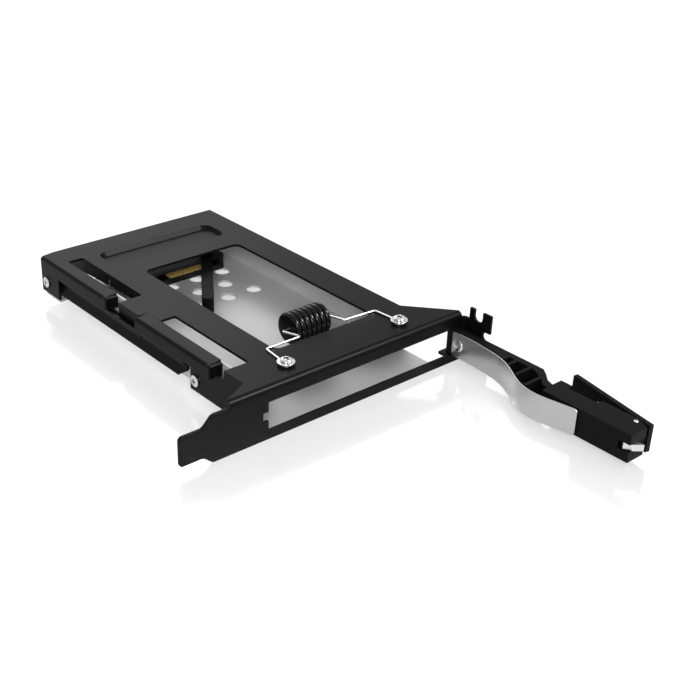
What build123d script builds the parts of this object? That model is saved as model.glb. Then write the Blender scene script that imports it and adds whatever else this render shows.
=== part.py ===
"""Rack for a 2.5-inch drive, built on an expansion-slot bracket.

A black cover plate and the slot bracket are one folded sheet. Under it a bare steel tray holds the
drive, a connector board closes the back, and a sprung door swings out of the bracket's opening.
Frame, in millimetres: X along the slot bracket, from the tongue to the screw tab; Y into the
computer; Z up. The origin lies on the bracket's front face, on its lower edge, at the middle of
the drive bay. The door stands open at 90 degrees and its latch lever is sprung out.
"""
import os
from math import cos, radians, sin

from build123d import *

# Slot bracket, to the usual sizes of an expansion slot
sheet = 0.9
bracket_length = 120.02
bracket_height = 18.42
tongue_reach = 68.6
tongue_width = 10.3
tongue_middle_z = 7.95
tongue_length = 8.6
tongue_round = 1.4
shoulder_run = 3.4
shoulder_round = 2.4
face_top_z = 16.6
tab_height = 20.9
tab_depth = 12.0
tab_prong_start = 2.3
tab_bend_radius = 1.0
screw_notch_width = 3.8
screw_notch_y = -6.3
screw_notch_depth = 4.2
side_notch_radius = 1.6
side_notch_z = 12.6

# Cover plate
cover_behind_connector = 22.8
cover_right = 36.0
cover_left = -40.0
strip_left = -41.65
strip_drop = 0.45
cover_bend_radius = 2.0
flare_left_x = -49.8
flare_left_y = 6.7
flare_right_y = 16.9
relief_width = 0.6
relief_depth = 0.6

# Window, slots and badge recess of the cover; rear places are counted from the connector or the rear edge
window_left = -18.5
window_right = 23.9
window_front = 17.8
window_rear_gap = 11.8
window_corner = 3.0
slot_left = -36.3
slot_right = -30.3
rear_slot_front_gap = 28.7
rear_slot_rear_gap = 11.1
front_slot_front = 16.6
slot_bridge = 20.1
strip_lead = 7.1
front_strip_front = 23.2
front_strip_rear_gap = 12.6
slot_corner = 0.8
badge_x = (-24.5, 26.0)
badge_front_gap = 24.8
badge_rear_gap = 11.3
badge_corner = 4.0
badge_depth = 1.6
badge_wall_angle = 35.0

# Side walls of the cover
skirt_height = 4.6
strip_lip = 1.2
crease_x = -39.75
crease_z = 10.4
flare_foot_x = -41.4
flare_foot_z = 6.9
left_wall_front = 36.9
left_wall_rear_gap = 10.3
wall_foot_cut = 3.4
slot_flange_front_drop = 2.7
slot_flange_rear_drop = 5.4
slot_flange_slit = 2.2
slot_flange_slit_y = 22.5
front_tab_rear = 34.9
front_tab_toe = 1.6
front_tab_foot = 4.0
rear_tab_length = 12.4
rear_tab_foot = 4.6
right_flange_foot = 14.1
right_flange_front = 17.4

# Bay, opening and tray
drive_width = 69.85
drive_clearance = 0.275
drive_length = 100.2
drive_front = 6.0
opening_bottom = 3.2
opening_height = 10.0
opening_side_gap = 0.1
opening_hinge_gap = 1.9
tray_sheet = 0.8
tray_bend_radius = 1.0
tray_front = 0.95
tray_rear_gap = 1.0
tray_wall_front = 13.6
tray_left_top = 17.2
tray_right_top = 17.4
tray_joggle = 1.1
tray_joggle_z = 13.1
tray_joggle_rise = 1.0
vent_radius = 3.0
vent_pitch = 12.0
vent_row_pitch = 10.2
vent_first_x = -24.2
vent_rear_gap = 2.0
vent_columns = 5
vent_rows = 3
ear_height = 8.6
ear_length = 9.0

# Door, drawn open, with its hinge axis along Z; places along it are counted from the latch block
hinge_inset = 3.7
hinge_y = 1.6
hinge_pin_radius = 0.65
hinge_clearance = 0.05
barrel_radius = 1.6
door_gap = 0.2
door_end_gap = 0.4
arm_wall = 2.6
arm_root_thickness = 3.15
arm_solid_rear = 20.7
arm_web = 1.4
arm_rib = 1.2
rib_leads = (17.6, 11.7, 5.4)
arm_end_lead = 8.3
notch_steps = ((5.4, 3.5), (2.8, 1.0))
notch_wall = 3.2
block_length = 34.3
block_outer_offset = 0.3
block_inner_offset = 9.4
block_chamfer = 2.1
finger_notch_offset = 4.0
ear_reach = 3.0

# Latch lever with its hook, drawn pressed in and then swung out to the pictured rest
lever_rest_angle = 11.0
lever_gap = 0.15
lever_thickness = 1.7
lever_end_inset = 0.4
lever_length = 34.6
lever_pin_offset = 1.4
lever_pin_inset = 4.3
lever_pin_radius = 0.75
lever_lug_radius = 1.5
lever_lug_height = 2.4
latch_slot_height = 2.8
latch_slot_lead = 2.7
lever_pocket = (16.2, 4.6)
lever_pocket_depth = 2.2
lever_pocket_floor = 5.0
spring_bore_length = 6.8
spring_bore_height = 4.4
lever_spring_lead = 12.1
lever_spring_radius = 1.5
lever_spring_wire = 0.5
lever_spring_length = 11.5
spring_bore_floor = 1.5
hook_height = 2.2
hook_tip = (2.51, 7.11)
hook_tip_rear = (2.93, 4.95)
hook_slope_end = (5.45, 5.59)
hook_back = (7.06, 3.1)
strike_overlap = 0.32
strike_end_gap = 0.25

# Leaf spring on the door: its places are shares of the arm's length and insets from the hinge
leaf_thickness = 0.4
leaf_height = 8.8
leaf_gap = 0.25
leaf_root_length = 8.5
leaf_curve = ((0.377, 2.4), (0.532, 3.75), (0.677, 6.9), (0.855, 11.35), (0.974, 12.4), (1.104, 11.85))
leaf_end_share = 1.275
leaf_corner = 1.4
rivet_y = -3.4
rivet_radius = 1.1
rivet_head_radius = 2.1
rivet_head_height = 0.5

# Ribbed roller on its bent wire
roller_x = (-5.8, 9.2)
roller_y = 27.4
roller_z = 17.85
roller_radius = 5.6
roller_groove = 0.9
roller_ribs = 7
rib_flank = 0.17
rib_shoulder = 0.75
roller_bore = 0.55
wire_radius = 0.45
wire_sides = 8
wire_screw_left = (-22.1, 8.1)
wire_screw_right = (26.5, 7.6)
wire_loop_radius = 2.05
wire_front_y = 19.9
wire_bend_radius = 1.2
washer_radius = 2.95
washer_thickness = 0.5
screw_shank_radius = 1.2
screw_head_radius = 2.05
screw_head_height = 1.1
screw_head_chamfer = 0.35
screw_recess_depth = 0.6
screw_recess_width = 0.6
wire_screw_length = 5.2

# Side screws that join the cover and the tray
side_screw_radius = 1.2
side_screw_head = 2.0
side_screw_head_height = 1.0
side_screw_chamfer = 0.3
side_recess_width = 0.55
side_screw_length = 2.6
front_side_screw = (32.0, 8.0)
rear_side_screw_gap = 4.0
rear_side_screw_z = 9.1
right_screw_front = 32.0
right_screw_rear_gap = 7.0
right_screw_z = 15.95

# Connector board at the back of the bay
connector_x = (-15.5, 26.3)
connector_body_depth = 7.0
connector_top = 9.2
tongue_slot_height = 2.6
contact_pitch = 1.27
contact_width = 0.75
power_contacts = 15
data_contacts = 7
power_start_x = 1.4
data_start_x = -11.6
contact_z = 5.9
contact_thickness = 0.3
contact_length = 4.4
board_x = (-21.0, 29.5)
board_lead = 4.8
board_depth = 13.5
board_z = 5.5
board_thickness = 1.6
standoff_x = (-18.2, 27.0)
standoff_lead = 11.6
standoff_radius = 2.4
board_screw_head = 1.9
board_screw_head_height = 1.1
board_screw_chamfer = 0.35
board_screw_radius = 1.0
cable_connector_x = (-13.0, 24.0)
cable_connector_lead = 14.0
cable_connector_inset = 0.4
cable_connector_top = 9.4

# Ejector arm under the cover, turning on a stud
ejector_pivot_x = 22.7
ejector_pivot_lead = 7.2
ejector_tip_x = -5.6
ejector_tip_back = 40.6
ejector_width = 4.4
ejector_top = 12.7
ejector_thickness = 2.4
ejector_toe_z = 6.6
ejector_eye_radius = 3.6
stud_radius = 1.5
stud_shoulder_radius = 2.5
stud_clearance = 0.06
clip_radius = 2.5
clip_thickness = 0.5
ejector_spring_radius = 3.35
ejector_spring_wire = 0.6
ejector_spring_leg = 9.0

# Sizes worked out from the ones above
bay_half = drive_width / 2 + drive_clearance
opening_left = -bay_half - opening_side_gap
opening_top = opening_bottom + opening_height
connector_face = drive_front + drive_length
cover_depth = connector_face + cover_behind_connector
window_rear = connector_face - window_rear_gap
rear_slot = (connector_face - rear_slot_front_gap, cover_depth - rear_slot_rear_gap)
front_slot = (front_slot_front, rear_slot[0] - slot_bridge)
rear_strip_front = rear_slot[0] + strip_lead
front_strip_rear = rear_slot[0] - front_strip_rear_gap
badge_y = (cover_depth - badge_front_gap, cover_depth - badge_rear_gap)
left_wall_rear = cover_depth - left_wall_rear_gap
tray_rear = cover_depth - tray_rear_gap
vent_rear_y = connector_face - vent_rear_gap
rear_side_screw = (cover_depth - rear_side_screw_gap, rear_side_screw_z)
right_screw_places = (right_screw_front, cover_depth - right_screw_rear_gap)
board_y = (connector_face + board_lead, connector_face + board_lead + board_depth)
standoff_places = [(x, connector_face + standoff_lead) for x in standoff_x]
cable_connector_front = connector_face + cable_connector_lead
cable_connector_rear = cover_depth - cable_connector_inset
ejector_pivot = (ejector_pivot_x, connector_face + ejector_pivot_lead)
ejector_tip = (ejector_tip_x, ejector_pivot[1] - ejector_tip_back)
tab_outer_x = bracket_length - tongue_reach
tab_inner_x = tab_outer_x - sheet
face_right_x = tab_inner_x - tab_bend_radius
cover_bottom = bracket_height - sheet
tray_floor_top = opening_bottom
tray_floor_bottom = tray_floor_top - tray_sheet
hinge_x = tab_inner_x - hinge_inset
opening_right = hinge_x + opening_hinge_gap
door_bottom = opening_bottom + door_gap
door_top = opening_top - door_gap
door_middle_z = (door_bottom + door_top) / 2
door_outer = hinge_x + barrel_radius
door_end = hinge_y - (hinge_x - opening_left - door_end_gap)
arm_wall_inner = door_outer - arm_wall
block_outer = hinge_x + block_outer_offset
block_inner = hinge_x - block_inner_offset
block_rear = door_end + block_length
arm_end_y = block_rear + arm_end_lead
finger_notch_floor = hinge_x - finger_notch_offset
leaf_seat = door_outer - arm_root_thickness
lever_pin_x = hinge_x - lever_pin_offset
lever_pin_y = door_end + lever_pin_inset
lever_inner = block_outer + lever_gap
lever_outer = lever_inner + lever_thickness
lever_spring_y = block_rear - lever_spring_lead
strike_x = hinge_x - (hinge_y - lever_pin_y) - hook_tip[1] + strike_overlap
strike_end = hinge_y + lever_pin_offset + hook_tip[0] - strike_end_gap
wire_z = bracket_height + wire_radius
stud_top = bracket_height - badge_depth - sheet


def slab(x0, x1, y0, y1, z0, z1):
    """A box given by its limits."""
    box = Box(x1 - x0, y1 - y0, z1 - z0)
    return box.moved(Location(((x0 + x1) / 2, (y0 + y1) / 2, (z0 + z1) / 2)))


def post(x, y, radius, z0, z1):
    """An upright cylinder."""
    return Cylinder(radius, z1 - z0).moved(Location((x, y, (z0 + z1) / 2)))


def plan_prism(points, z0, z1):
    """A plan outline of straight sides, raised from z0 to z1."""
    outline = Polyline(*[(x, y, z0) for x, y in points], close=True)
    return extrude(make_face(outline), amount=z1 - z0, dir=(0, 0, 1))


def side_prism(points, x0, x1):
    """An outline in Y and Z, carried along X from x0 to x1."""
    outline = Polyline(*[(x0, y, z) for y, z in points], close=True)
    return extrude(make_face(outline), amount=x1 - x0, dir=(1, 0, 0))


def front_prism(points, y0, y1):
    """An outline in X and Z, carried along Y from y0 to y1."""
    outline = Polyline(*[(x, y0, z) for x, z in points], close=True)
    return extrude(make_face(outline), amount=y1 - y0, dir=(0, 1, 0))


def rounded_plate(x0, x1, y0, y1, z0, z1, radius):
    """A flat plate with rounded corners in plan."""
    face = Rectangle(x1 - x0, y1 - y0)
    face = fillet(face.vertices(), radius)
    face = face.moved(Location(((x0 + x1) / 2, (y0 + y1) / 2, z0)))
    return extrude(face, amount=z1 - z0, dir=(0, 0, 1))


def folded_sheet(points, radius, thickness, y0, y1):
    """A sheet folded along Y: its middle line in X and Z, with a bend at each corner."""
    line = FilletPolyline(*points, radius=radius)
    section = trace(line, thickness)
    plane = Plane(origin=(0, y0, 0), x_dir=(1, 0, 0), z_dir=(0, -1, 0))
    return extrude(plane * section, amount=y1 - y0, dir=(0, 1, 0))


def one_solid(shape):
    """The single solid of a fused shape."""
    solids = shape.solids()
    return max(solids, key=lambda solid: solid.volume)


def cross_recess(x, y, top):
    """The cross cut of a screw head, as two crossed bars sunk into its top."""
    long_side = screw_head_radius * 1.15
    bar_one = Box(long_side, screw_recess_width, 2 * screw_recess_depth)
    bar_two = Box(screw_recess_width, long_side, 2 * screw_recess_depth)
    return (bar_one + bar_two).moved(Location((x, y, top)))


def bracket_face():
    """The slot bracket's upright face, with its tongue, soft steps and relief cut."""
    tongue_low = tongue_middle_z - tongue_width / 2
    tongue_high = tongue_middle_z + tongue_width / 2
    tip = -tongue_reach
    neck = tip + tongue_length
    shoulder = neck + shoulder_run
    relief_left = flare_left_x - relief_width
    outline = [
        (tip, tongue_low),
        (neck, tongue_low),
        (shoulder, 0),
        (face_right_x, 0),
        (face_right_x, bracket_height - cover_bend_radius),
        (flare_left_x, bracket_height - cover_bend_radius),
        (flare_left_x, face_top_z - relief_depth),
        (relief_left, face_top_z - relief_depth),
        (relief_left, face_top_z),
        (shoulder, face_top_z),
        (neck, tongue_high),
        (tip, tongue_high),
    ]
    face = make_face(Polyline(*outline, close=True))
    corners = face.vertices().filter_by(lambda corner: corner.X < tip + 1)
    face = fillet(corners, tongue_round)
    steps = face.vertices().filter_by(lambda corner: neck - 0.1 < corner.X < shoulder + 0.1)
    face = fillet(steps, shoulder_round)
    upright = Plane(origin=(0, 0, 0), x_dir=(1, 0, 0), z_dir=(0, -1, 0))
    face = extrude(upright * face, amount=sheet, dir=(0, 1, 0))
    opening = slab(opening_left, opening_right, -1, 2 * sheet, opening_bottom, opening_top)
    return face - opening


def cover_bend():
    """The rounded fold between the bracket's face and the cover plate."""
    ring = Cylinder(cover_bend_radius, face_right_x - flare_left_x, rotation=(0, 90, 0))
    ring = ring - Cylinder(cover_bend_radius - sheet, face_right_x - flare_left_x + 2, rotation=(0, 90, 0))
    middle = (flare_left_x + face_right_x) / 2
    low = bracket_height - cover_bend_radius
    ring = ring.moved(Location((middle, cover_bend_radius, low)))
    return ring & slab(flare_left_x, face_right_x, 0, cover_bend_radius, low, bracket_height)


def screw_tab():
    """The bracket's end tab, bent outwards, with the notch for the slot screw."""
    outer_radius = tab_bend_radius + sheet
    bend_x = face_right_x
    bend = post(bend_x, -tab_bend_radius, outer_radius, 0, face_top_z)
    bend = bend - post(bend_x, -tab_bend_radius, tab_bend_radius, -1, bracket_height)
    bend = bend & slab(bend_x, bend_x + outer_radius, -tab_bend_radius, sheet, 0, face_top_z)
    inner_x = tab_inner_x
    notch_half = screw_notch_width / 2
    notch_centre_z = tab_height - screw_notch_depth + notch_half
    tab = side_prism(
        [
            (-tab_bend_radius, 0),
            (-tab_bend_radius, face_top_z),
            (-tab_prong_start, face_top_z),
            (-tab_prong_start, tab_height),
            (-tab_depth, tab_height),
            (-tab_depth, 0),
        ],
        inner_x,
        inner_x + sheet,
    )
    round_end = Cylinder(notch_half, 4 * sheet, rotation=(0, 90, 0))
    tab = tab - round_end.moved(Location((inner_x, screw_notch_y, notch_centre_z)))
    tab = tab - slab(
        inner_x - sheet,
        inner_x + 2 * sheet,
        screw_notch_y - notch_half,
        screw_notch_y + notch_half,
        notch_centre_z,
        tab_height + 1,
    )
    side_notch = Cylinder(side_notch_radius, 4 * sheet, rotation=(0, 90, 0))
    side_centre_y = -tab_depth + side_notch_radius
    tab = tab - side_notch.moved(Location((inner_x, side_centre_y, side_notch_z)))
    tab = tab - slab(
        inner_x - sheet,
        inner_x + 2 * sheet,
        -tab_depth - 1,
        side_centre_y,
        side_notch_z - side_notch_radius,
        side_notch_z + side_notch_radius,
    )
    return bend + tab


def hinge_ears():
    """Two ears folded in from the opening's edges, which hold the door's hinge pin."""
    left = hinge_x - ear_reach
    right = opening_right
    back = hinge_y + ear_reach
    top_z = opening_top + 0.05
    low_z = opening_bottom - 0.05
    top_ear = rounded_plate(left, right, 0.3, back, top_z, top_z + sheet, 0.25)
    low_ear = rounded_plate(left, right, 0.3, back, low_z - sheet, low_z, 0.25)
    hole = post(hinge_x, hinge_y, hinge_pin_radius, 0, bracket_height)
    return (top_ear + low_ear) - hole


def latch_strike():
    """A flap folded in from the opening's left edge, behind which the hook catches."""
    low = door_middle_z - latch_slot_height / 2 - 0.2
    high = door_middle_z + latch_slot_height / 2 + 0.2
    return slab(strike_x - sheet, strike_x, sheet / 2, strike_end, low, high)


def strike_notch():
    """The notch that folding the strike leaves in the opening's edge."""
    low = door_middle_z - latch_slot_height / 2 - 0.2
    high = door_middle_z + latch_slot_height / 2 + 0.2
    return slab(strike_x, opening_left + 0.1, -1, 2 * sheet, low, high)


def cover_plate():
    """The flat top, flared at the front, with its window and slots."""
    outline = [
        (flare_left_x, cover_bend_radius),
        (cover_left, flare_left_y),
        (cover_left, cover_depth),
        (cover_right, cover_depth),
        (cover_right, flare_right_y),
        (face_right_x, cover_bend_radius),
    ]
    plate = plan_prism(outline, cover_bottom, bracket_height)
    low = cover_bottom - 1
    high = bracket_height + 1
    plate = plate - rounded_plate(
        window_left, window_right, window_front, window_rear, low, high, window_corner
    )
    for slot_front, slot_rear in (rear_slot, front_slot):
        plate = plate - rounded_plate(
            slot_left, slot_right, slot_front, slot_rear, low, high, slot_corner
        )
    for slot_front, strip_front in ((rear_slot[0], rear_strip_front), (front_slot[0], front_strip_front)):
        plate = plate - slab(cover_left - 1, slot_left + 1, slot_front, strip_front, low, high)
    for strip_front, strip_rear in ((rear_strip_front, cover_depth), (front_strip_front, front_strip_rear)):
        plate = plate - slab(cover_left - 1, slot_left, strip_front, strip_rear, low, high)
    return plate


def edge_strip(y0, y1):
    """A strip along the cover's left edge, sloped a little and folded down as a skirt."""
    half = sheet / 2
    outer = strip_left + half
    inner_z = bracket_height - half
    outer_z = bracket_height - strip_drop - half
    skirt_foot = bracket_height - strip_drop - skirt_height
    strip = folded_sheet(
        [(slot_left + 0.01, inner_z), (outer, outer_z), (outer, skirt_foot)], 0.9, sheet, y0, y1
    )
    return strip


def strip_end(y0):
    """The front end of an edge strip, folded down as a rounded, closed lip."""
    top = bracket_height - strip_drop
    foot = top - skirt_height
    lip = slab(strip_left, slot_left, y0 - strip_lip, y0 + sheet, foot, top)
    front_edge = lip.edges().filter_by(Axis.X).group_by(Axis.Y)[0].group_by(Axis.Z)[-1]
    lip = fillet(front_edge, strip_lip * 0.7)
    side_edges = lip.edges().filter_by(Axis.Z).group_by(Axis.Y)[0]
    return fillet(side_edges, strip_lip * 0.5)


def creased_wall():
    """The long left wall under the strips: creased inwards at mid height, its foot flared out."""
    half = sheet / 2
    skirt_foot = bracket_height - strip_drop - skirt_height
    wall = folded_sheet(
        [
            (strip_left + half, skirt_foot + 0.6),
            (strip_left + half, skirt_foot - 0.3),
            (crease_x + half, crease_z + 0.7),
            (crease_x + half, crease_z - 0.4),
            (flare_foot_x + half, flare_foot_z),
        ],
        0.5,
        sheet,
        left_wall_front,
        left_wall_rear,
    )
    foot_cut = side_prism(
        [
            (left_wall_front - 1, flare_foot_z - 1),
            (left_wall_front + wall_foot_cut, flare_foot_z - 1),
            (left_wall_front + wall_foot_cut, flare_foot_z),
            (left_wall_front - 1, crease_z - 0.4),
        ],
        flare_foot_x - 1,
        crease_x + 2,
    )
    neck = slab(
        cover_left,
        cover_left + sheet,
        front_strip_rear - 1,
        rear_strip_front + 1,
        crease_z - 0.3,
        cover_bottom + 0.1,
    )
    open_end = slab(
        cover_left - 1,
        cover_left + 2,
        rear_slot[0],
        rear_strip_front + 2,
        skirt_foot + 0.6,
        bracket_height + 1,
    )
    return (wall - foot_cut) + (neck - open_end)


def side_tabs():
    """The two left tabs that take the side screws, and the right flange."""
    skirt_foot = bracket_height - strip_drop - skirt_height
    front_tab = side_prism(
        [
            (front_tab_rear, front_tab_foot),
            (front_tab_toe, front_tab_foot),
            (front_tab_toe, cover_bottom + 0.1),
            (front_slot[0], cover_bottom + 0.1),
            (front_slot[0], skirt_foot + 1.6),
            (front_tab_rear, skirt_foot + 1.6),
        ],
        cover_left,
        cover_left + sheet,
    )
    bridge_top = skirt_foot + 1.2
    bridge = slab(
        strip_left,
        cover_left + sheet,
        front_strip_front,
        left_wall_front + 1,
        bridge_top - sheet,
        bridge_top,
    )
    rear_tab = slab(
        strip_left,
        strip_left + sheet,
        cover_depth - rear_tab_length,
        cover_depth,
        rear_tab_foot,
        skirt_foot + 3.6,
    )
    right_flange = slab(
        cover_right - sheet,
        cover_right,
        right_flange_front,
        cover_depth,
        right_flange_foot,
        cover_bottom + 0.1,
    )
    front_y, front_z = front_side_screw
    rear_y, rear_z = rear_side_screw
    holes = [
        (cover_left + sheet / 2, front_y, front_z),
        (strip_left + sheet / 2, rear_y, rear_z),
        (cover_right - sheet / 2, right_screw_places[0], right_screw_z),
        (cover_right - sheet / 2, right_screw_places[1], right_screw_z),
    ]
    tabs = front_tab + bridge + rear_tab + right_flange
    for place in holes:
        hole = Cylinder(side_screw_radius + 0.02, 4 * sheet, rotation=(0, 90, 0))
        tabs = tabs - hole.moved(Location(place))
    return tabs


def slot_flange():
    """The flap folded down along the rear slot's inner edge, with a slit."""
    y0 = rear_slot[0] + 2.0
    slit_y = rear_slot[0] + slot_flange_slit_y
    flange = side_prism(
        [
            (y0, cover_bottom + 0.1),
            (cover_depth, cover_bottom + 0.1),
            (cover_depth, cover_bottom - slot_flange_rear_drop),
            (y0, cover_bottom - slot_flange_front_drop),
        ],
        slot_right,
        slot_right + sheet,
    )
    slit = slab(
        slot_right - 1,
        slot_right + 2 * sheet,
        slit_y - slot_flange_slit / 2,
        slit_y + slot_flange_slit / 2,
        0,
        cover_bottom - 0.4,
    )
    return flange - slit


def badge_boss():
    """The underside of the pressed badge recess."""
    spread = badge_depth / cos(radians(badge_wall_angle)) + 0.4
    return rounded_plate(
        badge_x[0] - spread,
        badge_x[1] + spread,
        badge_y[0] - spread,
        badge_y[1] + spread,
        cover_bottom - badge_depth,
        cover_bottom + 0.1,
        badge_corner,
    )


def badge_pocket():
    """The pressed recess itself, with sloped walls and a bare floor."""
    face = Rectangle(badge_x[1] - badge_x[0], badge_y[1] - badge_y[0])
    face = fillet(face.vertices(), badge_corner)
    middle = Location(((badge_x[0] + badge_x[1]) / 2, (badge_y[0] + badge_y[1]) / 2, bracket_height))
    return extrude(face.moved(middle), amount=badge_depth, dir=(0, 0, -1), taper=badge_wall_angle)


def cover_bracket():
    """Cover plate, slot bracket, tabs and walls: one folded sheet of painted steel."""
    cover = bracket_face() + cover_bend() + screw_tab() + cover_plate()
    cover = cover + edge_strip(rear_strip_front, cover_depth)
    cover = cover + edge_strip(front_strip_front, front_strip_rear)
    cover = cover + strip_end(rear_strip_front) + strip_end(front_strip_front)
    cover = cover + creased_wall() + side_tabs() + slot_flange() + hinge_ears() + badge_boss()
    cover = cover - badge_pocket() - strike_notch()
    cover = cover + latch_strike()
    for x, y in (wire_screw_left, wire_screw_right):
        cover = cover - post(x, y, screw_shank_radius + 0.02, cover_bottom - 1, bracket_height + 1)
    return one_solid(cover)


def drive_tray():
    """The bare steel tray: floor, two side walls, ears for the side screws, vent holes."""
    half = tray_sheet / 2
    floor_z = tray_floor_top - half
    wall_x = bay_half + half
    floor = slab(-bay_half, bay_half, tray_front, tray_rear, tray_floor_bottom, tray_floor_top)
    corner = tray_bend_radius + half
    left = folded_sheet(
        [(-bay_half + 2, floor_z), (-wall_x, floor_z), (-wall_x, tray_left_top)],
        corner,
        tray_sheet,
        tray_wall_front,
        tray_rear,
    )
    right = folded_sheet(
        [
            (bay_half - 2, floor_z),
            (wall_x, floor_z),
            (wall_x, tray_joggle_z),
            (wall_x - tray_joggle, tray_joggle_z + tray_joggle_rise),
            (wall_x - tray_joggle, tray_right_top),
        ],
        0.6,
        tray_sheet,
        tray_wall_front,
        tray_rear,
    )
    tray = floor + left + right
    ears = (
        (cover_left + sheet, front_side_screw[0], front_side_screw[1]),
        (strip_left + sheet, rear_side_screw[0] - 1.5, rear_side_screw[1]),
    )
    for outer_x, middle_y, screw_z in ears:
        ear = folded_sheet(
            [
                (-bay_half, floor_z),
                (outer_x + half, floor_z),
                (outer_x + half, screw_z + ear_height / 2),
            ],
            0.6,
            tray_sheet,
            middle_y - ear_length / 2,
            middle_y + ear_length / 2,
        )
        tray = tray + ear
    for row in range(vent_rows):
        row_y = vent_rear_y - row * vent_row_pitch
        first_x = vent_first_x + (row % 2) * vent_pitch / 2
        for column in range(vent_columns - row % 2):
            tray = tray - post(first_x + column * vent_pitch, row_y, vent_radius, 0, tray_floor_top + 1)
    holes = [
        (-bay_half - 4.5, front_side_screw[0], front_side_screw[1]),
        (-bay_half - 4.5, rear_side_screw[0], rear_side_screw[1]),
        (bay_half, right_screw_places[0], right_screw_z),
        (bay_half, right_screw_places[1], right_screw_z),
    ]
    for place in holes:
        hole = Cylinder(side_screw_radius + 0.02, 6.0, rotation=(0, 90, 0))
        tray = tray - hole.moved(Location(place))
    return one_solid(tray)


def hinge_pin():
    """The door's hinge pin, held in the two ears."""
    low = opening_bottom - 0.05 - sheet
    high = opening_top + 0.05 + sheet
    return post(hinge_x, hinge_y, hinge_pin_radius, low - 0.2, high + 0.3)


def leaf_line():
    """The leaf spring's middle line in plan: a straight root, an S, and its end on the latch block."""
    root_x = leaf_seat - leaf_thickness / 2
    arm_length = -block_rear
    points = [(root_x, -leaf_root_length)]
    for share, inset in leaf_curve:
        points.append((hinge_x - inset, -share * arm_length))
    points.append((block_inner - leaf_thickness, -leaf_end_share * arm_length))
    return Spline(*points, tangents=[(0, -1), (0.45, -1)])


def leaf_side(offset):
    """Points along the leaf, set off from its middle line; a positive offset lies towards the door."""
    line = leaf_line()
    steps = 18
    points = []
    for step in range(steps + 1):
        place = line @ (step / steps)
        along = line % (step / steps)
        points.append((place.X - along.Y * offset, place.Y + along.X * offset))
    return points


def leaf_spring():
    """The S-shaped leaf that presses on the drive when the door is shut."""
    low = door_middle_z - leaf_height / 2
    high = low + leaf_height
    left = leaf_side(-leaf_thickness / 2)
    right = leaf_side(leaf_thickness / 2)
    edge_left = Spline(*left, tangents=[(0, -1), (0.45, -1)])
    edge_right = Spline(*right, tangents=[(0, -1), (0.45, -1)])
    cap_root = Line(edge_left @ 0, edge_right @ 0)
    cap_end = Line(edge_left @ 1, edge_right @ 1)
    face = make_face([edge_left, cap_end, edge_right, cap_root])
    leaf = extrude(face.moved(Location((0, 0, low))), amount=leaf_height, dir=(0, 0, 1))
    root_end = hinge_y - barrel_radius - 0.6
    leaf = leaf + slab(leaf_seat - leaf_thickness, leaf_seat, -leaf_root_length - 0.01, root_end, low, high)
    hole = Cylinder(rivet_radius + 0.02, 4 * leaf_thickness, rotation=(0, 90, 0))
    leaf = leaf - hole.moved(Location((leaf_seat - leaf_thickness / 2, rivet_y, door_middle_z)))
    end_y = right[-1][1] - 0.2
    for corner_z, inward in ((low, 1), (high, -1)):
        corner = [
            (end_y, corner_z - inward * 0.1),
            (end_y + leaf_corner, corner_z - inward * 0.1),
            (end_y, corner_z + inward * leaf_corner),
        ]
        leaf = leaf - side_prism(corner, block_inner - 4, block_inner + 1)
    return one_solid(leaf)


def leaf_rivet():
    """The rivet that fastens the leaf to the door's root."""
    shank_length = arm_root_thickness + leaf_thickness - 0.4
    shank = Cylinder(rivet_radius, shank_length, rotation=(0, 90, 0))
    shank = shank.moved(Location((leaf_seat - leaf_thickness + shank_length / 2, rivet_y, door_middle_z)))
    head = Cylinder(rivet_head_radius, rivet_head_height, rotation=(0, 90, 0))
    head_x = leaf_seat - leaf_thickness - rivet_head_height / 2
    return one_solid(shank + head.moved(Location((head_x, rivet_y, door_middle_z))))


def notch_edge():
    """The finger notch's curved edge, from the arm's wall to the latch block."""
    steps = [(finger_notch_floor + out, block_rear + lead) for lead, out in notch_steps]
    return [*steps, (finger_notch_floor, block_rear)]


def arm_outline():
    """Plan of the door's arm behind the leaf, from the hinge to the latch block."""
    behind_leaf = leaf_side(leaf_thickness / 2 + leaf_gap)
    inner = [place for place in behind_leaf if place[1] > block_rear]
    return [
        (leaf_seat, hinge_y - barrel_radius - 0.6),
        (leaf_seat, -leaf_root_length),
        *inner[1:],
        (block_inner, block_rear - 0.6),
        (finger_notch_floor, block_rear - 0.6),
    ]


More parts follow.
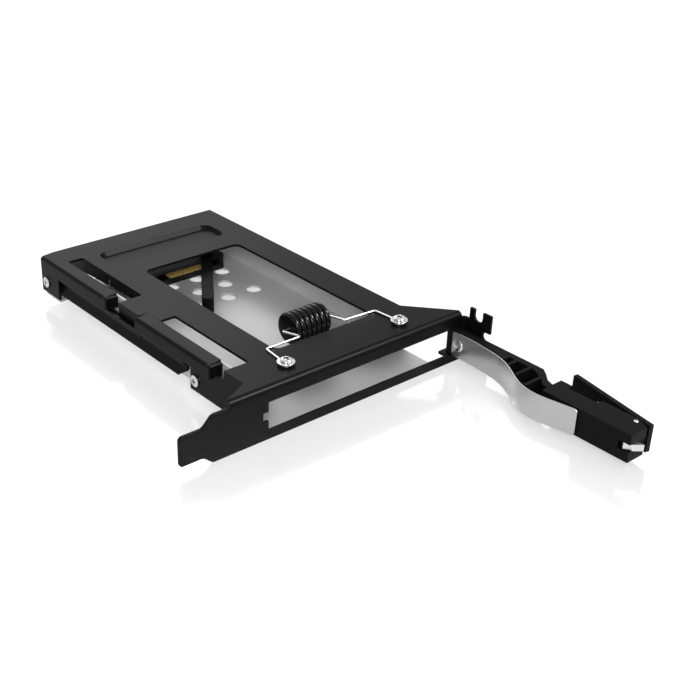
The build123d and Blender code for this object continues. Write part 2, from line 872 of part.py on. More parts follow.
def door_arm():
    """The moulded door: barrel, ribbed arm, finger notch and latch block, in one piece."""
    barrel = post(hinge_x, hinge_y, barrel_radius, door_bottom, door_top)
    root = slab(leaf_seat, door_outer, -leaf_root_length, hinge_y, door_bottom, door_top)
    root = root - slab(
        leaf_seat - 1, hinge_x, hinge_y - barrel_radius - 0.4, hinge_y + 1, door_bottom - 1, door_top + 1
    )
    outer = [*notch_edge()[::-1], (door_outer, arm_end_y)]
    plan = [*arm_outline(), *outer, (door_outer, hinge_y - barrel_radius - 0.6)]
    low_web = door_middle_z - arm_web / 2
    web = plan_prism(plan, low_web, low_web + arm_web)
    full = plan_prism(plan, door_bottom, door_top)
    solid_end = block_rear + arm_solid_rear
    arm = barrel + root + web
    arm = arm + (full & slab(block_inner - 9, door_outer + 1, solid_end, hinge_y, door_bottom, door_top))
    wall_inner = [(x - notch_wall, y - 0.5) for x, y in notch_edge()]
    wall = plan_prism(
        [
            (arm_wall_inner, solid_end + 0.1),
            (door_outer, solid_end + 0.1),
            *outer[::-1],
            (finger_notch_floor, block_rear - 1),
            (finger_notch_floor - notch_wall, block_rear - 1),
            *wall_inner[::-1],
            (arm_wall_inner, arm_end_y + 2),
        ],
        door_bottom,
        door_top,
    )
    arm = arm + wall
    for lead in rib_leads:
        low_y = block_rear + lead - arm_rib / 2
        rib = slab(block_inner - 9, door_outer - 1, low_y, low_y + arm_rib, door_bottom, door_top)
        arm = arm + (full & rib)
    arm = arm + latch_block()
    arm = arm - post(hinge_x, hinge_y, hinge_pin_radius + hinge_clearance, 0, bracket_height)
    rivet_hole = Cylinder(rivet_radius + 0.02, arm_root_thickness - 0.3, rotation=(0, 90, 0))
    rivet_x = leaf_seat + (arm_root_thickness - 0.3) / 2 - 0.05
    arm = arm - rivet_hole.moved(Location((rivet_x, rivet_y, door_middle_z)))
    return one_solid(arm)


def latch_block():
    """The thick end of the door, slotted for the hook and hollowed for the lever's spring."""
    block = plan_prism(
        [
            (block_outer, block_rear),
            (block_outer, lever_pin_y + 0.7),
            (block_outer - block_chamfer, door_end),
            (block_inner, door_end),
            (block_inner, block_rear - 0.4),
            (finger_notch_floor - 1, block_rear),
        ],
        door_bottom,
        door_top,
    )
    pocket = slab(
        block_outer - lever_pocket_depth,
        block_outer + 1,
        block_rear - lever_pocket[0],
        block_rear - lever_pocket[1],
        lever_pocket_floor,
        door_top + 1,
    )
    bore = slab(
        block_inner + spring_bore_floor,
        block_outer,
        lever_spring_y - spring_bore_length / 2,
        lever_spring_y + spring_bore_length / 2,
        door_middle_z - spring_bore_height / 2,
        door_middle_z + spring_bore_height / 2,
    )
    slot_front = door_end - 1
    slot = plan_prism(
        [
            (block_outer + 1, lever_pin_y + latch_slot_lead),
            (lever_pin_x - lever_lug_radius - 0.2, lever_pin_y + latch_slot_lead),
            (block_inner - 1, lever_pin_y - 0.6),
            (block_inner - 1, slot_front),
            (block_outer + 1, slot_front),
        ],
        door_middle_z - latch_slot_height / 2,
        door_middle_z + latch_slot_height / 2,
    )
    pin_hole = post(lever_pin_x, lever_pin_y, lever_pin_radius + 0.02, 0, bracket_height)
    return block - pocket - bore - slot - pin_hole


def swing_lever(shape):
    """Turn a piece of the lever from its pressed place to the pictured rest."""
    to_pin = Location((-lever_pin_x, -lever_pin_y, 0))
    turn = Location((0, 0, 0), (0, 0, -lever_rest_angle))
    back = Location((lever_pin_x, lever_pin_y, 0))
    return shape.moved(back * turn * to_pin)


def latch_lever():
    """The lever that lies along the latch block, with the lug that turns on its pin."""
    far_end = door_end + lever_end_inset
    near_end = far_end + lever_length
    plate = slab(lever_inner, lever_outer, far_end, near_end, door_bottom + 0.1, door_top - 0.1)
    low = door_middle_z - lever_lug_height / 2
    high = door_middle_z + lever_lug_height / 2
    lug = post(lever_pin_x, lever_pin_y, lever_lug_radius, low, high)
    low_y = lever_pin_y - lever_lug_radius
    high_y = lever_pin_y + lever_lug_radius
    lug = lug + slab(lever_pin_x, lever_inner + 0.1, low_y, high_y, low, high)
    lug = lug + slab(
        lever_pin_x - lever_lug_radius, lever_inner + 0.1, door_end + 0.9, lever_pin_y, low, high
    )
    lever = plate + lug
    lever = lever - post(lever_pin_x, lever_pin_y, lever_pin_radius + hinge_clearance, 0, bracket_height)
    return one_solid(swing_lever(lever))


def latch_hook():
    """The steel hook that the lever carries through the block's slot, its end sloped like a bolt's."""
    root_x = lever_pin_x - lever_lug_radius
    tip, tip_rear, slope_end, back = [
        (lever_pin_x - inset, lever_pin_y - reach)
        for inset, reach in (hook_tip, hook_tip_rear, hook_slope_end, hook_back)
    ]
    hook = plan_prism(
        [
            (root_x, lever_pin_y - 0.4),
            (root_x, door_end + 0.9),
            tip_rear,
            tip,
            slope_end,
            back,
            (back[0] + 0.9, lever_pin_y - 1.4),
            (root_x - 2.2, lever_pin_y - 1.0),
        ],
        door_middle_z - hook_height / 2,
        door_middle_z + hook_height / 2,
    )
    return one_solid(swing_lever(hook))


def lever_pin():
    """The pin that the lever turns on, pressed into the block."""
    return post(lever_pin_x, lever_pin_y, lever_pin_radius, door_bottom, door_top + 0.3)


def lever_spring():
    """The compression spring under the lever, drawn as its outer tube."""
    tube = Cylinder(lever_spring_radius, lever_spring_length, rotation=(0, 90, 0))
    bore = Cylinder(lever_spring_radius - lever_spring_wire, lever_spring_length + 1, rotation=(0, 90, 0))
    place = Location((lever_inner - lever_spring_length / 2, lever_spring_y, door_middle_z))
    return one_solid(swing_lever((tube - bore).moved(place)))


def roller():
    """The rubber roller: rounded ribs along one barrel, bored for its wire."""
    length = roller_x[1] - roller_x[0]
    pitch = length / roller_ribs
    valley = roller_radius - roller_groove
    shoulder = valley + rib_shoulder * roller_groove
    points = [(roller_x[0], roller_bore)]
    for rib in range(roller_ribs):
        x0 = roller_x[0] + rib * pitch
        x1 = x0 + pitch
        flank = rib_flank * pitch
        points += [(x0, valley), (x0 + flank, shoulder), (x0 + 2 * flank, roller_radius)]
        points += [(x1 - 2 * flank, roller_radius), (x1 - flank, shoulder)]
    points += [(roller_x[1], valley), (roller_x[1], roller_bore)]
    body = revolve(make_face(Polyline(*points, close=True)), Axis.X)
    return one_solid(body.moved(Location((0, roller_y, roller_z))))


def wire_path():
    """The bent wire's middle line, from one screw's loop through the roller to the other's."""
    left_x, left_y = wire_screw_left
    right_x, right_y = wire_screw_right
    return [
        (left_x - wire_loop_radius, left_y, wire_z),
        (left_x - wire_loop_radius, wire_front_y, wire_z),
        (roller_x[0] - 0.6, wire_front_y + 0.4, wire_z),
        (roller_x[0] - 2.4, roller_y, roller_z),
        (roller_x[1] + 2.4, roller_y, roller_z),
        (roller_x[1] + 4.0, wire_front_y + 0.2, wire_z),
        (right_x - wire_loop_radius, wire_front_y - 0.6, wire_z),
        (right_x - wire_loop_radius, right_y, wire_z),
    ]


def roller_wire():
    """One length of spring wire: a loop round each screw, bent to hold the roller."""
    path = FilletPolyline(*wire_path(), radius=wire_bend_radius)
    round_section = RegularPolygon(wire_radius, wire_sides)
    wire = sweep(round_section.moved(Location(path @ 0, (90, 0, 0))), path=path)
    for x, y in (wire_screw_left, wire_screw_right):
        section = round_section.moved(Location((wire_loop_radius, 0, 0), (90, 0, 0)))
        half_loop = revolve(section, Axis.Z, revolution_arc=180)
        wire = wire + half_loop.moved(Location((x, y, wire_z), (0, 0, 180)))
    return one_solid(wire)


def wire_washers():
    """The two washers that clamp the wire's loops."""
    low = wire_z + wire_radius
    washers = []
    for x, y in (wire_screw_left, wire_screw_right):
        disc = post(x, y, washer_radius, low, low + washer_thickness)
        washers.append(disc - post(x, y, screw_shank_radius + 0.02, low - 1, low + 1 + washer_thickness))
    return Compound(children=[one_solid(washer) for washer in washers])


def wire_screws():
    """The two cross-head screws that hold the wire."""
    seat = wire_z + wire_radius + washer_thickness
    screws = []
    for x, y in (wire_screw_left, wire_screw_right):
        head = post(x, y, screw_head_radius, seat, seat + screw_head_height)
        head = chamfer(head.edges().group_by(Axis.Z)[-1], screw_head_chamfer)
        shank = post(x, y, screw_shank_radius, seat - wire_screw_length, seat)
        screws.append((head + shank) - cross_recess(x, y, seat + screw_head_height))
    return Compound(children=[one_solid(screw) for screw in screws])


def side_screw(outer_x, y, z, inward):
    """One side screw, its head outside the sheet at outer_x."""
    head = Cylinder(side_screw_head, side_screw_head_height)
    head = chamfer(head.edges().group_by(Axis.Z)[-1], side_screw_chamfer)
    long_side = side_screw_head * 1.2
    deep = side_screw_head_height
    recess = Box(long_side, side_recess_width, deep) + Box(side_recess_width, long_side, deep)
    head = head - recess.moved(Location((0, 0, side_screw_head_height / 2)))
    shank = Cylinder(side_screw_radius, side_screw_length)
    shank = shank.moved(Location((0, 0, -side_screw_head_height / 2 - side_screw_length / 2)))
    turn = -90 if inward > 0 else 90
    screw = (head + shank).moved(Location((0, 0, 0), (0, turn, 0)))
    return one_solid(screw.moved(Location((outer_x - inward * side_screw_head_height / 2, y, z))))


def side_screws():
    """The four screws that join the cover to the tray."""
    return Compound(
        children=[
            side_screw(cover_left, front_side_screw[0], front_side_screw[1], 1),
            side_screw(strip_left, rear_side_screw[0], rear_side_screw[1], 1),
            side_screw(cover_right, right_screw_places[0], right_screw_z, -1),
            side_screw(cover_right, right_screw_places[1], right_screw_z, -1),
        ]
    )


def drive_connector():
    """The receptacle that the drive plugs onto: a moulded block with a contact tongue slot."""
    rear = connector_face + connector_body_depth
    body = slab(connector_x[0], connector_x[1], connector_face, rear, tray_floor_top, connector_top)
    body = fillet(body.edges().filter_by(Axis.Z), 0.6)
    mouth = slab(
        connector_x[0] + 2.2,
        connector_x[1] - 2.2,
        connector_face - 1,
        connector_face + contact_length + 0.35,
        contact_z - 0.4,
        contact_z - 0.4 + tongue_slot_height,
    )
    board_seat = slab(
        connector_x[0] - 1,
        connector_x[1] + 1,
        board_y[0],
        rear + 1,
        board_z - 0.02,
        board_z + board_thickness + 0.02,
    )
    return one_solid(body - mouth - board_seat)


def contact_row(first_x, count, y0, length, low):
    """A row of flat contacts."""
    return [
        slab(
            first_x + place * contact_pitch - contact_width / 2,
            first_x + place * contact_pitch + contact_width / 2,
            y0,
            y0 + length,
            low,
            low + contact_thickness,
        )
        for place in range(count)
    ]


def drive_contacts():
    """The gold contacts of the drive connector, power and data."""
    low = contact_z - 0.4
    start = connector_face + 0.3
    power = contact_row(power_start_x, power_contacts, start, contact_length, low)
    data = contact_row(data_start_x, data_contacts, start, contact_length, low)
    return Compound(children=power + data)


def circuit_board():
    """The small board that joins the two connectors."""
    board = slab(board_x[0], board_x[1], board_y[0], board_y[1], board_z, board_z + board_thickness)
    for x, y in standoff_places:
        board = board - post(x, y, board_screw_radius + 0.1, 0, bracket_height)
    return one_solid(board)


def board_standoffs():
    """Two round standoffs on the tray's floor."""
    return Compound(
        children=[
            one_solid(
                post(x, y, standoff_radius, tray_floor_top, board_z)
                - post(x, y, board_screw_radius + 0.02, tray_floor_top + 0.4, board_z + 1)
            )
            for x, y in standoff_places
        ]
    )


def board_screws():
    """Two screws that hold the board on its standoffs."""
    seat = board_z + board_thickness
    screws = []
    for x, y in standoff_places:
        head = post(x, y, board_screw_head, seat, seat + board_screw_head_height)
        head = chamfer(head.edges().group_by(Axis.Z)[-1], board_screw_chamfer)
        shank = post(x, y, board_screw_radius, board_z - 1.6, seat)
        screws.append(one_solid(head + shank))
    return Compound(children=screws)


def cable_connector():
    """The plug for the computer's own data and power leads, at the rear."""
    body = slab(
        cable_connector_x[0],
        cable_connector_x[1],
        cable_connector_front,
        cable_connector_rear,
        tray_floor_top,
        cable_connector_top,
    )
    body = fillet(body.edges().filter_by(Axis.Z), 0.6)
    board_seat = slab(
        cable_connector_x[0] - 1,
        cable_connector_x[1] + 1,
        cable_connector_front - 1,
        board_y[1] + 0.02,
        board_z - 0.02,
        board_z + board_thickness + 0.02,
    )
    middle_x = cable_connector_x[0] + 0.36 * (cable_connector_x[1] - cable_connector_x[0])
    low = tray_floor_top + 1.2
    high = cable_connector_top - 1.2
    tongue_low = (low + high) / 2 - 0.6
    shapes = body - board_seat
    data_well = (cable_connector_x[0] + 1.4, middle_x - 0.8)
    power_well = (middle_x + 0.8, cable_connector_x[1] - 1.4)
    for x0, x1 in (data_well, power_well):
        well = slab(x0, x1, board_y[1] + 0.7, cable_connector_rear + 1, low, high)
        tongue = slab(
            x0 + 0.8, x1 - 0.8, board_y[1] + 0.6, cable_connector_rear - 0.6, tongue_low, tongue_low + 1.2
        )
        shapes = shapes - well + tongue
    return one_solid(shapes)


def arm_direction():
    """Unit vector and length from the ejector's pivot to its tip."""
    dx = ejector_tip[0] - ejector_pivot[0]
    dy = ejector_tip[1] - ejector_pivot[1]
    length = (dx * dx + dy * dy) ** 0.5
    return dx / length, dy / length, length


def ejector_arm():
    """The arm that pushes the drive out, with a round toe that stands behind the drive."""
    ux, uy, _ = arm_direction()
    half = ejector_width / 2
    low = ejector_top - ejector_thickness
    side_x, side_y = -uy * half, ux * half
    px, py = ejector_pivot
    tx, ty = ejector_tip
    bar = plan_prism(
        [
            (px + side_x, py + side_y),
            (tx + side_x, ty + side_y),
            (tx - side_x, ty - side_y),
            (px - side_x, py - side_y),
        ],
        low,
        ejector_top,
    )
    toe = post(tx, ty, half, ejector_toe_z, ejector_top)
    eye = post(px, py, ejector_eye_radius, low, ejector_top)
    bore = post(px, py, stud_radius + stud_clearance, 0, bracket_height)
    return one_solid((bar + toe + eye) - bore)


def ejector_stud():
    """The shouldered stud under the cover that the ejector arm turns on."""
    px, py = ejector_pivot
    shoulder_foot = ejector_top + 0.1
    pin_foot = ejector_top - ejector_thickness - 0.1 - clip_thickness
    stud = post(px, py, stud_shoulder_radius, shoulder_foot, stud_top)
    return one_solid(stud + post(px, py, stud_radius, pin_foot - 0.2, shoulder_foot))


def ejector_clip():
    """The retaining clip under the ejector arm."""
    px, py = ejector_pivot
    high = ejector_top - ejector_thickness - 0.1
    ring = post(px, py, clip_radius, high - clip_thickness, high)
    ring = ring - post(px, py, stud_radius, 0, bracket_height)
    mouth = slab(px, px + clip_radius + 1, py - 0.7, py + 0.7, high - 1, high + 1)
    return one_solid(ring - mouth)


def ejector_spring():
    """The torsion spring round the stud, drawn as its outer tube with two legs."""
    px, py = ejector_pivot
    low = ejector_top + 0.3
    high = stud_top - 0.3
    inner = ejector_spring_radius - ejector_spring_wire
    coil = post(px, py, ejector_spring_radius, low, high) - post(px, py, inner, low - 1, high + 1)
    wire = ejector_spring_wire
    leg_y = py + ejector_spring_radius - wire
    leg = slab(px, px + ejector_spring_leg, leg_y, leg_y + wire, high - wire, high)
    return one_solid(coil + leg)


NODES = {
    "cover_bracket": cover_bracket,
    "drive_tray": drive_tray,
    "hinge_pin": hinge_pin,
    "door_arm": door_arm,
    "leaf_spring": leaf_spring,
    "leaf_rivet": leaf_rivet,
    "latch_lever": latch_lever,
    "latch_hook": latch_hook,
    "lever_pin": lever_pin,
    "lever_spring": lever_spring,
    "ribbed_roller": roller,
    "roller_wire": roller_wire,
    "wire_washers": wire_washers,
    "wire_screws": wire_screws,
    "side_screws": side_screws,
    "drive_connector": drive_connector,
    "drive_contacts": drive_contacts,
    "circuit_board": circuit_board,
    "board_standoffs": board_standoffs,
    "board_screws": board_screws,
    "cable_connector": cable_connector,
    "ejector_arm": ejector_arm,
    "ejector_stud": ejector_stud,
    "ejector_clip": ejector_clip,
    "ejector_spring": ejector_spring,
}

os.makedirs("parts", exist_ok=True)
for node_name, build_node in NODES.items():
    export_step(build_node(), f"parts/{node_name}.step")
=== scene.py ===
"""Looks of a slot-bracket rack with a hinged door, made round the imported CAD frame.

Everything is in metres in the CAD's own frame: X along the slot bracket, Y into the computer, Z up.
Sizes are written in millimetres and turned into metres where a mesh or a pattern is made.
"""

import bmesh
import bpy
import numpy as np
from mathutils import Matrix, Vector


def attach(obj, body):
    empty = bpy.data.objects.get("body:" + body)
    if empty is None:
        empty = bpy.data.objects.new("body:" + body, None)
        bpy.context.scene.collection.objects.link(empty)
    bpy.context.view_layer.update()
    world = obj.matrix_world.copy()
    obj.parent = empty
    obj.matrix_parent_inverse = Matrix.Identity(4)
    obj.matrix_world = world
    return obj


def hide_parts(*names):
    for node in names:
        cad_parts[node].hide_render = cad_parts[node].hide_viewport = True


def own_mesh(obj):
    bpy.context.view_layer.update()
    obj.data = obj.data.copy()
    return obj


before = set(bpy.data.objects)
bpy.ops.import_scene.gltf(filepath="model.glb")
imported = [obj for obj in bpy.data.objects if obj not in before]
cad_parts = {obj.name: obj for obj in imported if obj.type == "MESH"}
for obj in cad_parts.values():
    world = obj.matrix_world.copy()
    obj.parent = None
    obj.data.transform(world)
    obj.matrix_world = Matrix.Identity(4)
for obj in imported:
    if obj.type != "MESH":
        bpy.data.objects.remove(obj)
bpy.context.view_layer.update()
MM = 0.001


# Cover plate and slot bracket: one piece of sheet steel, punched, pressed and folded, then coated.
# The baked powder coat gives a soft, even black with a faint orange peel, and it rounds off every
# punched edge a little, so that edges catch a thin line of light.
def srgb(code):
    """Linear colour of a six-digit sRGB code: the sRGB curve undone for each channel."""
    share = np.array([int(code[at:at + 2], 16) for at in (0, 2, 4)]) / 255
    linear = np.where(share <= 0.04045, share / 12.92, ((share + 0.055) / 1.055) ** 2.4)
    return (*linear.tolist(), 1.0)


def blank(name):
    """A new material with an empty node tree."""
    material = bpy.data.materials.new(name)
    material.use_nodes = True
    material.node_tree.nodes.clear()
    return material


def add_node(owner, kind, sockets, **settings):
    """Add a node, give it its settings, and give each named socket a value or a link."""
    tree = owner.node_tree
    node = tree.nodes.new("ShaderNode" + kind)
    for name, value in settings.items():
        setattr(node, name, value)
    for name, value in sockets.items():
        if isinstance(value, bpy.types.NodeSocket):
            tree.links.new(value, node.inputs[name])
        else:
            node.inputs[name].default_value = value
    return node


def dress(node, material):
    """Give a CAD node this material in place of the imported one."""
    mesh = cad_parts[node].data
    mesh.materials.clear()
    mesh.materials.append(material)


def per(width):
    """Scale of a noise pattern: how many of its patches, each width mm wide, lie along a metre."""
    return 1 / (width * MM)


PEEL_WIDTH = 0.9  # a real orange peel is about half as wide, too fine to show in the picture
PEEL_DEPTH = 0.02
COAT_PATCH = 18.0
COAT_EDGE = 0.28
EDGE_SAMPLES = 4

powder_coat = blank("black powder coat on sheet steel")
place = add_node(powder_coat, "TexCoord", {}).outputs["Object"]
patches = add_node(powder_coat, "TexNoise", {"Vector": place, "Scale": per(COAT_PATCH), "Detail": 3.0})
peel = add_node(powder_coat, "TexNoise", {"Vector": place, "Scale": per(PEEL_WIDTH), "Detail": 2.0})
tone = add_node(
    powder_coat, "Mix", {0: patches.outputs["Fac"], 6: srgb("070707"), 7: srgb("0b0b0b")}, data_type="RGBA"
)
rough = add_node(powder_coat, "MapRange", {"Value": patches.outputs["Fac"], "To Min": 0.33, "To Max": 0.40})
edge = add_node(powder_coat, "Bevel", {"Radius": COAT_EDGE * MM}, samples=EDGE_SAMPLES)
relief = add_node(
    powder_coat,
    "Bump",
    {
        "Height": peel.outputs["Fac"],
        "Strength": 0.10,
        "Distance": PEEL_DEPTH * MM,
        "Normal": edge.outputs["Normal"],
    },
)
coat = add_node(
    powder_coat,
    "BsdfPrincipled",
    {
        "Base Color": tone.outputs[2],
        "Roughness": rough.outputs["Result"],
        "Specular IOR Level": 0.05,
        "Normal": relief.outputs["Normal"],
    },
)
add_node(powder_coat, "OutputMaterial", {"Surface": coat.outputs[0]})
dress("cover_bracket", powder_coat)


# Tray: zinc-plated sheet steel, left bare, pressed with rows of round vents and folded up at
# both sides. The mill's rolls leave a fine grain along the bay, and the plating makes it a pale grey
# that is closer to matt than to a mirror.
GRAIN_WIDTH = 0.5
GRAIN_STRETCH = 0.05
GRAIN_DEPTH = 0.01
PLATING_CLOUD = 22.0
TRAY_EDGE = 0.2

zinc_plate = blank("zinc-plated rolled steel sheet")
place = add_node(zinc_plate, "TexCoord", {}).outputs["Object"]
along = add_node(zinc_plate, "Mapping", {"Vector": place, "Scale": (1, GRAIN_STRETCH, 1)})
grain = add_node(
    zinc_plate, "TexNoise", {"Vector": along.outputs[0], "Scale": per(GRAIN_WIDTH), "Detail": 4.0}
)
cloud = add_node(zinc_plate, "TexNoise", {"Vector": place, "Scale": per(PLATING_CLOUD), "Detail": 3.0})
tone = add_node(
    zinc_plate, "Mix", {0: cloud.outputs["Fac"], 6: srgb("acacad"), 7: srgb("b6b6b7")}, data_type="RGBA"
)
rough = add_node(zinc_plate, "MapRange", {"Value": grain.outputs["Fac"], "To Min": 0.48, "To Max": 0.58})
edge = add_node(zinc_plate, "Bevel", {"Radius": TRAY_EDGE * MM}, samples=EDGE_SAMPLES)
relief = add_node(
    zinc_plate,
    "Bump",
    {
        "Height": grain.outputs["Fac"],
        "Strength": 0.08,
        "Distance": GRAIN_DEPTH * MM,
        "Normal": edge.outputs["Normal"],
    },
)
plate = add_node(
    zinc_plate,
    "BsdfPrincipled",
    {
        "Base Color": tone.outputs[2],
        "Metallic": 0.25,
        "Roughness": rough.outputs["Result"],
        "Normal": relief.outputs["Normal"],
    },
)
add_node(zinc_plate, "OutputMaterial", {"Surface": plate.outputs[0]})
dress("drive_tray", zinc_plate)


# Pins: the door's hinge pin and the latch lever's pin, cut from bright nickel-plated wire with domed
# ends. The plating is smooth, so both show as bright dots and thin bright lines.
def facing(axis):
    """Rows of a frame whose third direction is axis: two more directions square to it."""
    third = np.array(axis, float)
    first = np.cross((0, 1, 0) if abs(third[1]) < 0.9 else (1, 0, 0), third)
    return np.stack([first, np.cross(third, first), third])


def turned(profile, steps):
    """A profile of (radius, height) carried round an upright axis: x = r cos t, y = r sin t, z = h."""
    turn = np.linspace(0, 2 * np.pi, steps, endpoint=False)[:, None]
    radius, height = np.array(profile, float).T
    return np.stack([radius * np.cos(turn), radius * np.sin(turn), height + 0 * turn], axis=-1)


def domed(radius, dome, count):
    """A shallow dome's profile from pole to rim: h = dome times the root of 1 - (r / R) squared."""
    share = np.sin(np.linspace(0, np.pi / 2, count))
    return np.stack([radius * share, dome * np.sqrt(1 - share ** 2)], axis=-1)


# Name of the point attribute that holds each point's recess depth, which the nickel material reads to paint
# shade into the screws' cross recesses.
RECESS_SHADE_DEPTH = "recess depth"


def skin(name, grids, material, wrap=(True, False), crease=35.0, marks=None):
    """One mesh from grids of points in mm, each joined to its neighbours along rows and columns.

    wrap says whether rows and columns run round to the start. Points that fall together, as at a
    pole, become one, faces turn outwards, and edges sharper than crease degrees stay sharp. marks
    are the recess depths of the points, from 0 to 1, which the nickel material reads to paint
    the recesses near-black as painted shade.
    """
    points, faces, start = [], [], 0
    for grid in grids:
        rows, columns = grid.shape[:2]
        row = np.arange(rows if wrap[0] else rows - 1)[:, None]
        column = np.arange(columns if wrap[1] else columns - 1)[None, :]
        ahead, beside = (row + 1) % rows, (column + 1) % columns
        here, there = row * columns, ahead * columns
        corners = [here + column, here + beside, there + beside, there + column]
        faces.append(start + np.stack(corners, axis=-1).reshape(-1, 4))
        points.append(grid.reshape(-1, 3))
        start += rows * columns
    mesh = bpy.data.meshes.new(name)
    mesh.from_pydata((np.concatenate(points) * MM).tolist(), [], np.concatenate(faces).tolist())
    if marks is not None:
        depth = mesh.attributes.new(RECESS_SHADE_DEPTH, "FLOAT", "POINT")
        depths = np.concatenate([mark.ravel() for mark in marks])
        depth.data.foreach_set("value", depths.astype(np.float32))
    work = bmesh.new()
    work.from_mesh(mesh)
    bmesh.ops.remove_doubles(work, verts=work.verts, dist=1e-7)
    bmesh.ops.recalc_face_normals(work, faces=work.faces)
    work.to_mesh(mesh)
    work.free()
    mesh.shade_smooth()
    mesh.set_sharp_from_angle(angle=np.radians(crease))
    mesh.materials.append(material)
    piece = bpy.data.objects.new(name, mesh)
    bpy.context.scene.collection.objects.link(piece)
    return piece


BATH_PATCH = 1.6

nickel = blank("bright nickel plate")
place = add_node(nickel, "TexCoord", {}).outputs["Object"]
bath = add_node(nickel, "TexNoise", {"Vector": place, "Scale": per(BATH_PATCH), "Detail": 3.0})
tone = add_node(
    nickel, "Mix", {0: bath.outputs["Fac"], 6: srgb("b8b7b5"), 7: srgb("cdccca")}, data_type="RGBA"
)
rough = add_node(nickel, "MapRange", {"Value": bath.outputs["Fac"], "To Min": 0.14, "To Max": 0.26})
# Painted shade: where the recess depth is high, the nickel's colour is mixed to near-black, standing in for
# the shade that falls in the screws' cross recesses.
recess = add_node(nickel, "Attribute", {}, attribute_name=RECESS_SHADE_DEPTH)
recess_painted_shade_tone = add_node(
    nickel, "Mix", {0: recess.outputs["Fac"], 6: tone.outputs[2], 7: srgb("0c0c0c")}, data_type="RGBA"
)
metal = add_node(
    nickel,
    "BsdfPrincipled",
    {"Base Color": recess_painted_shade_tone.outputs[2], "Metallic": 1.0, "Roughness": rough.outputs["Result"]},
)
add_node(nickel, "OutputMaterial", {"Surface": metal.outputs[0]})

HINGE = (46.82, 1.6)
HINGE_PIN = (0.65, 2.05, 14.45)
LEVER_PIVOT = (45.42, -75.82)
LEVER_PIN = (0.75, 3.4, 13.3)
PIN_DOME = 0.4
PIN_DOME_STEPS = 8
PIN_SIDES = 32

for name, node, body, (x, y), (radius, low, high) in (
    ("hinge_pin_wire", "hinge_pin", "rack", HINGE, HINGE_PIN),
    ("lever_pin_wire", "lever_pin", "door", LEVER_PIVOT, LEVER_PIN),
):
    dome = PIN_DOME * radius
    cap = domed(radius, dome, PIN_DOME_STEPS)
    head = cap + (0, high - dome)
    foot = (cap * (1, -1) + (0, low + dome))[::-1]
    pin = skin(name, [turned(np.concatenate([head, foot]), PIN_SIDES) + (x, y, 0)], nickel)
    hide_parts(node)
    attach(pin, body)


# Door: moulded in black glass-filled nylon, with a ribbed arm, a hollow for a fingertip and a thick
# latch block. The mould's spark-eroded face gives a fine dull grain, with small radii at each edge.
MOULD_GRAIN = 0.6
MOULD_DEPTH = 0.015
MOULD_FLOW = 9
MOULD_EDGE = 0.22

moulded_nylon = blank("black moulded nylon")
place = add_node(moulded_nylon, "TexCoord", {}).outputs["Object"]
flow = add_node(moulded_nylon, "TexNoise", {"Vector": place, "Scale": per(MOULD_FLOW), "Detail": 3.0})
grain = add_node(moulded_nylon, "TexNoise", {"Vector": place, "Scale": per(MOULD_GRAIN), "Detail": 2.0})
tone = add_node(
    moulded_nylon, "Mix", {0: flow.outputs["Fac"], 6: srgb("070707"), 7: srgb("0b0b0b")}, data_type="RGBA"
)
rough = add_node(moulded_nylon, "MapRange", {"Value": flow.outputs["Fac"], "To Min": 0.50, "To Max": 0.60})
edge = add_node(moulded_nylon, "Bevel", {"Radius": MOULD_EDGE * MM}, samples=EDGE_SAMPLES)
relief = add_node(
    moulded_nylon,
    "Bump",
    {
        "Height": grain.outputs["Fac"],
        "Strength": 0.15,
        "Distance": MOULD_DEPTH * MM,
        "Normal": edge.outputs["Normal"],
    },
)
nylon = add_node(
    moulded_nylon,
    "BsdfPrincipled",
    {
        "Base Color": tone.outputs[2],
        "Roughness": rough.outputs["Result"],
        "Specular IOR Level": 0.05,
        "Normal": relief.outputs["Normal"],
    },
)
add_node(moulded_nylon, "OutputMaterial", {"Surface": nylon.outputs[0]})
dress("door_arm", moulded_nylon)


# Leaf spring on the door: a strip of hard-rolled spring steel, sheared, bent to an S and riveted to
# the door's root. It is bright and smooth, with a faint grain along the strip, and its edges were
# tumbled, so the upper one shows as a white line.
LEAF_THICKNESS = 0.4
LEAF_LOW, LEAF_HIGH = 3.5, 12.8
LEAF_CORNER = 0.8
LEAF_EDGE = 0.12
LEAF_ROOT = (45.07, -0.6)
LEAF_PLACES = np.array(
    [(45.07, -8.5), (44.42, -17.27), (43.07, -24.38), (39.92, -31.02), (35.47, -39.18), (34.42, -44.63),
     (34.97, -50.59), (36.9, -60.6)]
)
LEAF_ENDS = ((0, -1), (0.15, -1))
LEAF_STEPS = 90
CORNER_STEPS = 5


def smooth_line(places, ends, steps):
    """A clamped cubic spline through places, with its run measured along the chords.

    The slopes come from making the second derivative continuous at each inner place, with the end
    slopes given, and each span is the cubic that has the places and slopes at its two ends.
    """
    run = np.linalg.norm(np.diff(places, axis=0), axis=1)
    count = len(places)
    rise = np.diff(places, axis=0) / run[:, None]
    matrix = np.eye(count)
    known = np.zeros_like(places)
    inner = np.arange(1, count - 1)
    matrix[inner, inner - 1] = run[1:]
    matrix[inner, inner] = 2 * (run[:-1] + run[1:])
    matrix[inner, inner + 1] = run[:-1]
    known[inner] = 3 * (run[1:, None] * rise[:-1] + run[:-1, None] * rise[1:])
    known[[0, -1]] = [np.array(end) / np.linalg.norm(end) for end in ends]
    slope = np.linalg.solve(matrix, known)
    mark = np.concatenate([[0], np.cumsum(run)])
    at = np.linspace(0, mark[-1], steps)
    span = np.clip(np.searchsorted(mark, at, side="right") - 1, 0, count - 2)
    length = run[span][:, None]
    share = (at - mark[span])[:, None] / length
    first = (2 * share ** 3 - 3 * share ** 2 + 1) * places[span]
    second = (share ** 3 - 2 * share ** 2 + share) * length * slope[span]
    third = (3 * share ** 2 - 2 * share ** 3) * places[span + 1]
    fourth = (share ** 3 - share ** 2) * length * slope[span + 1]
    return first + second + third + fourth


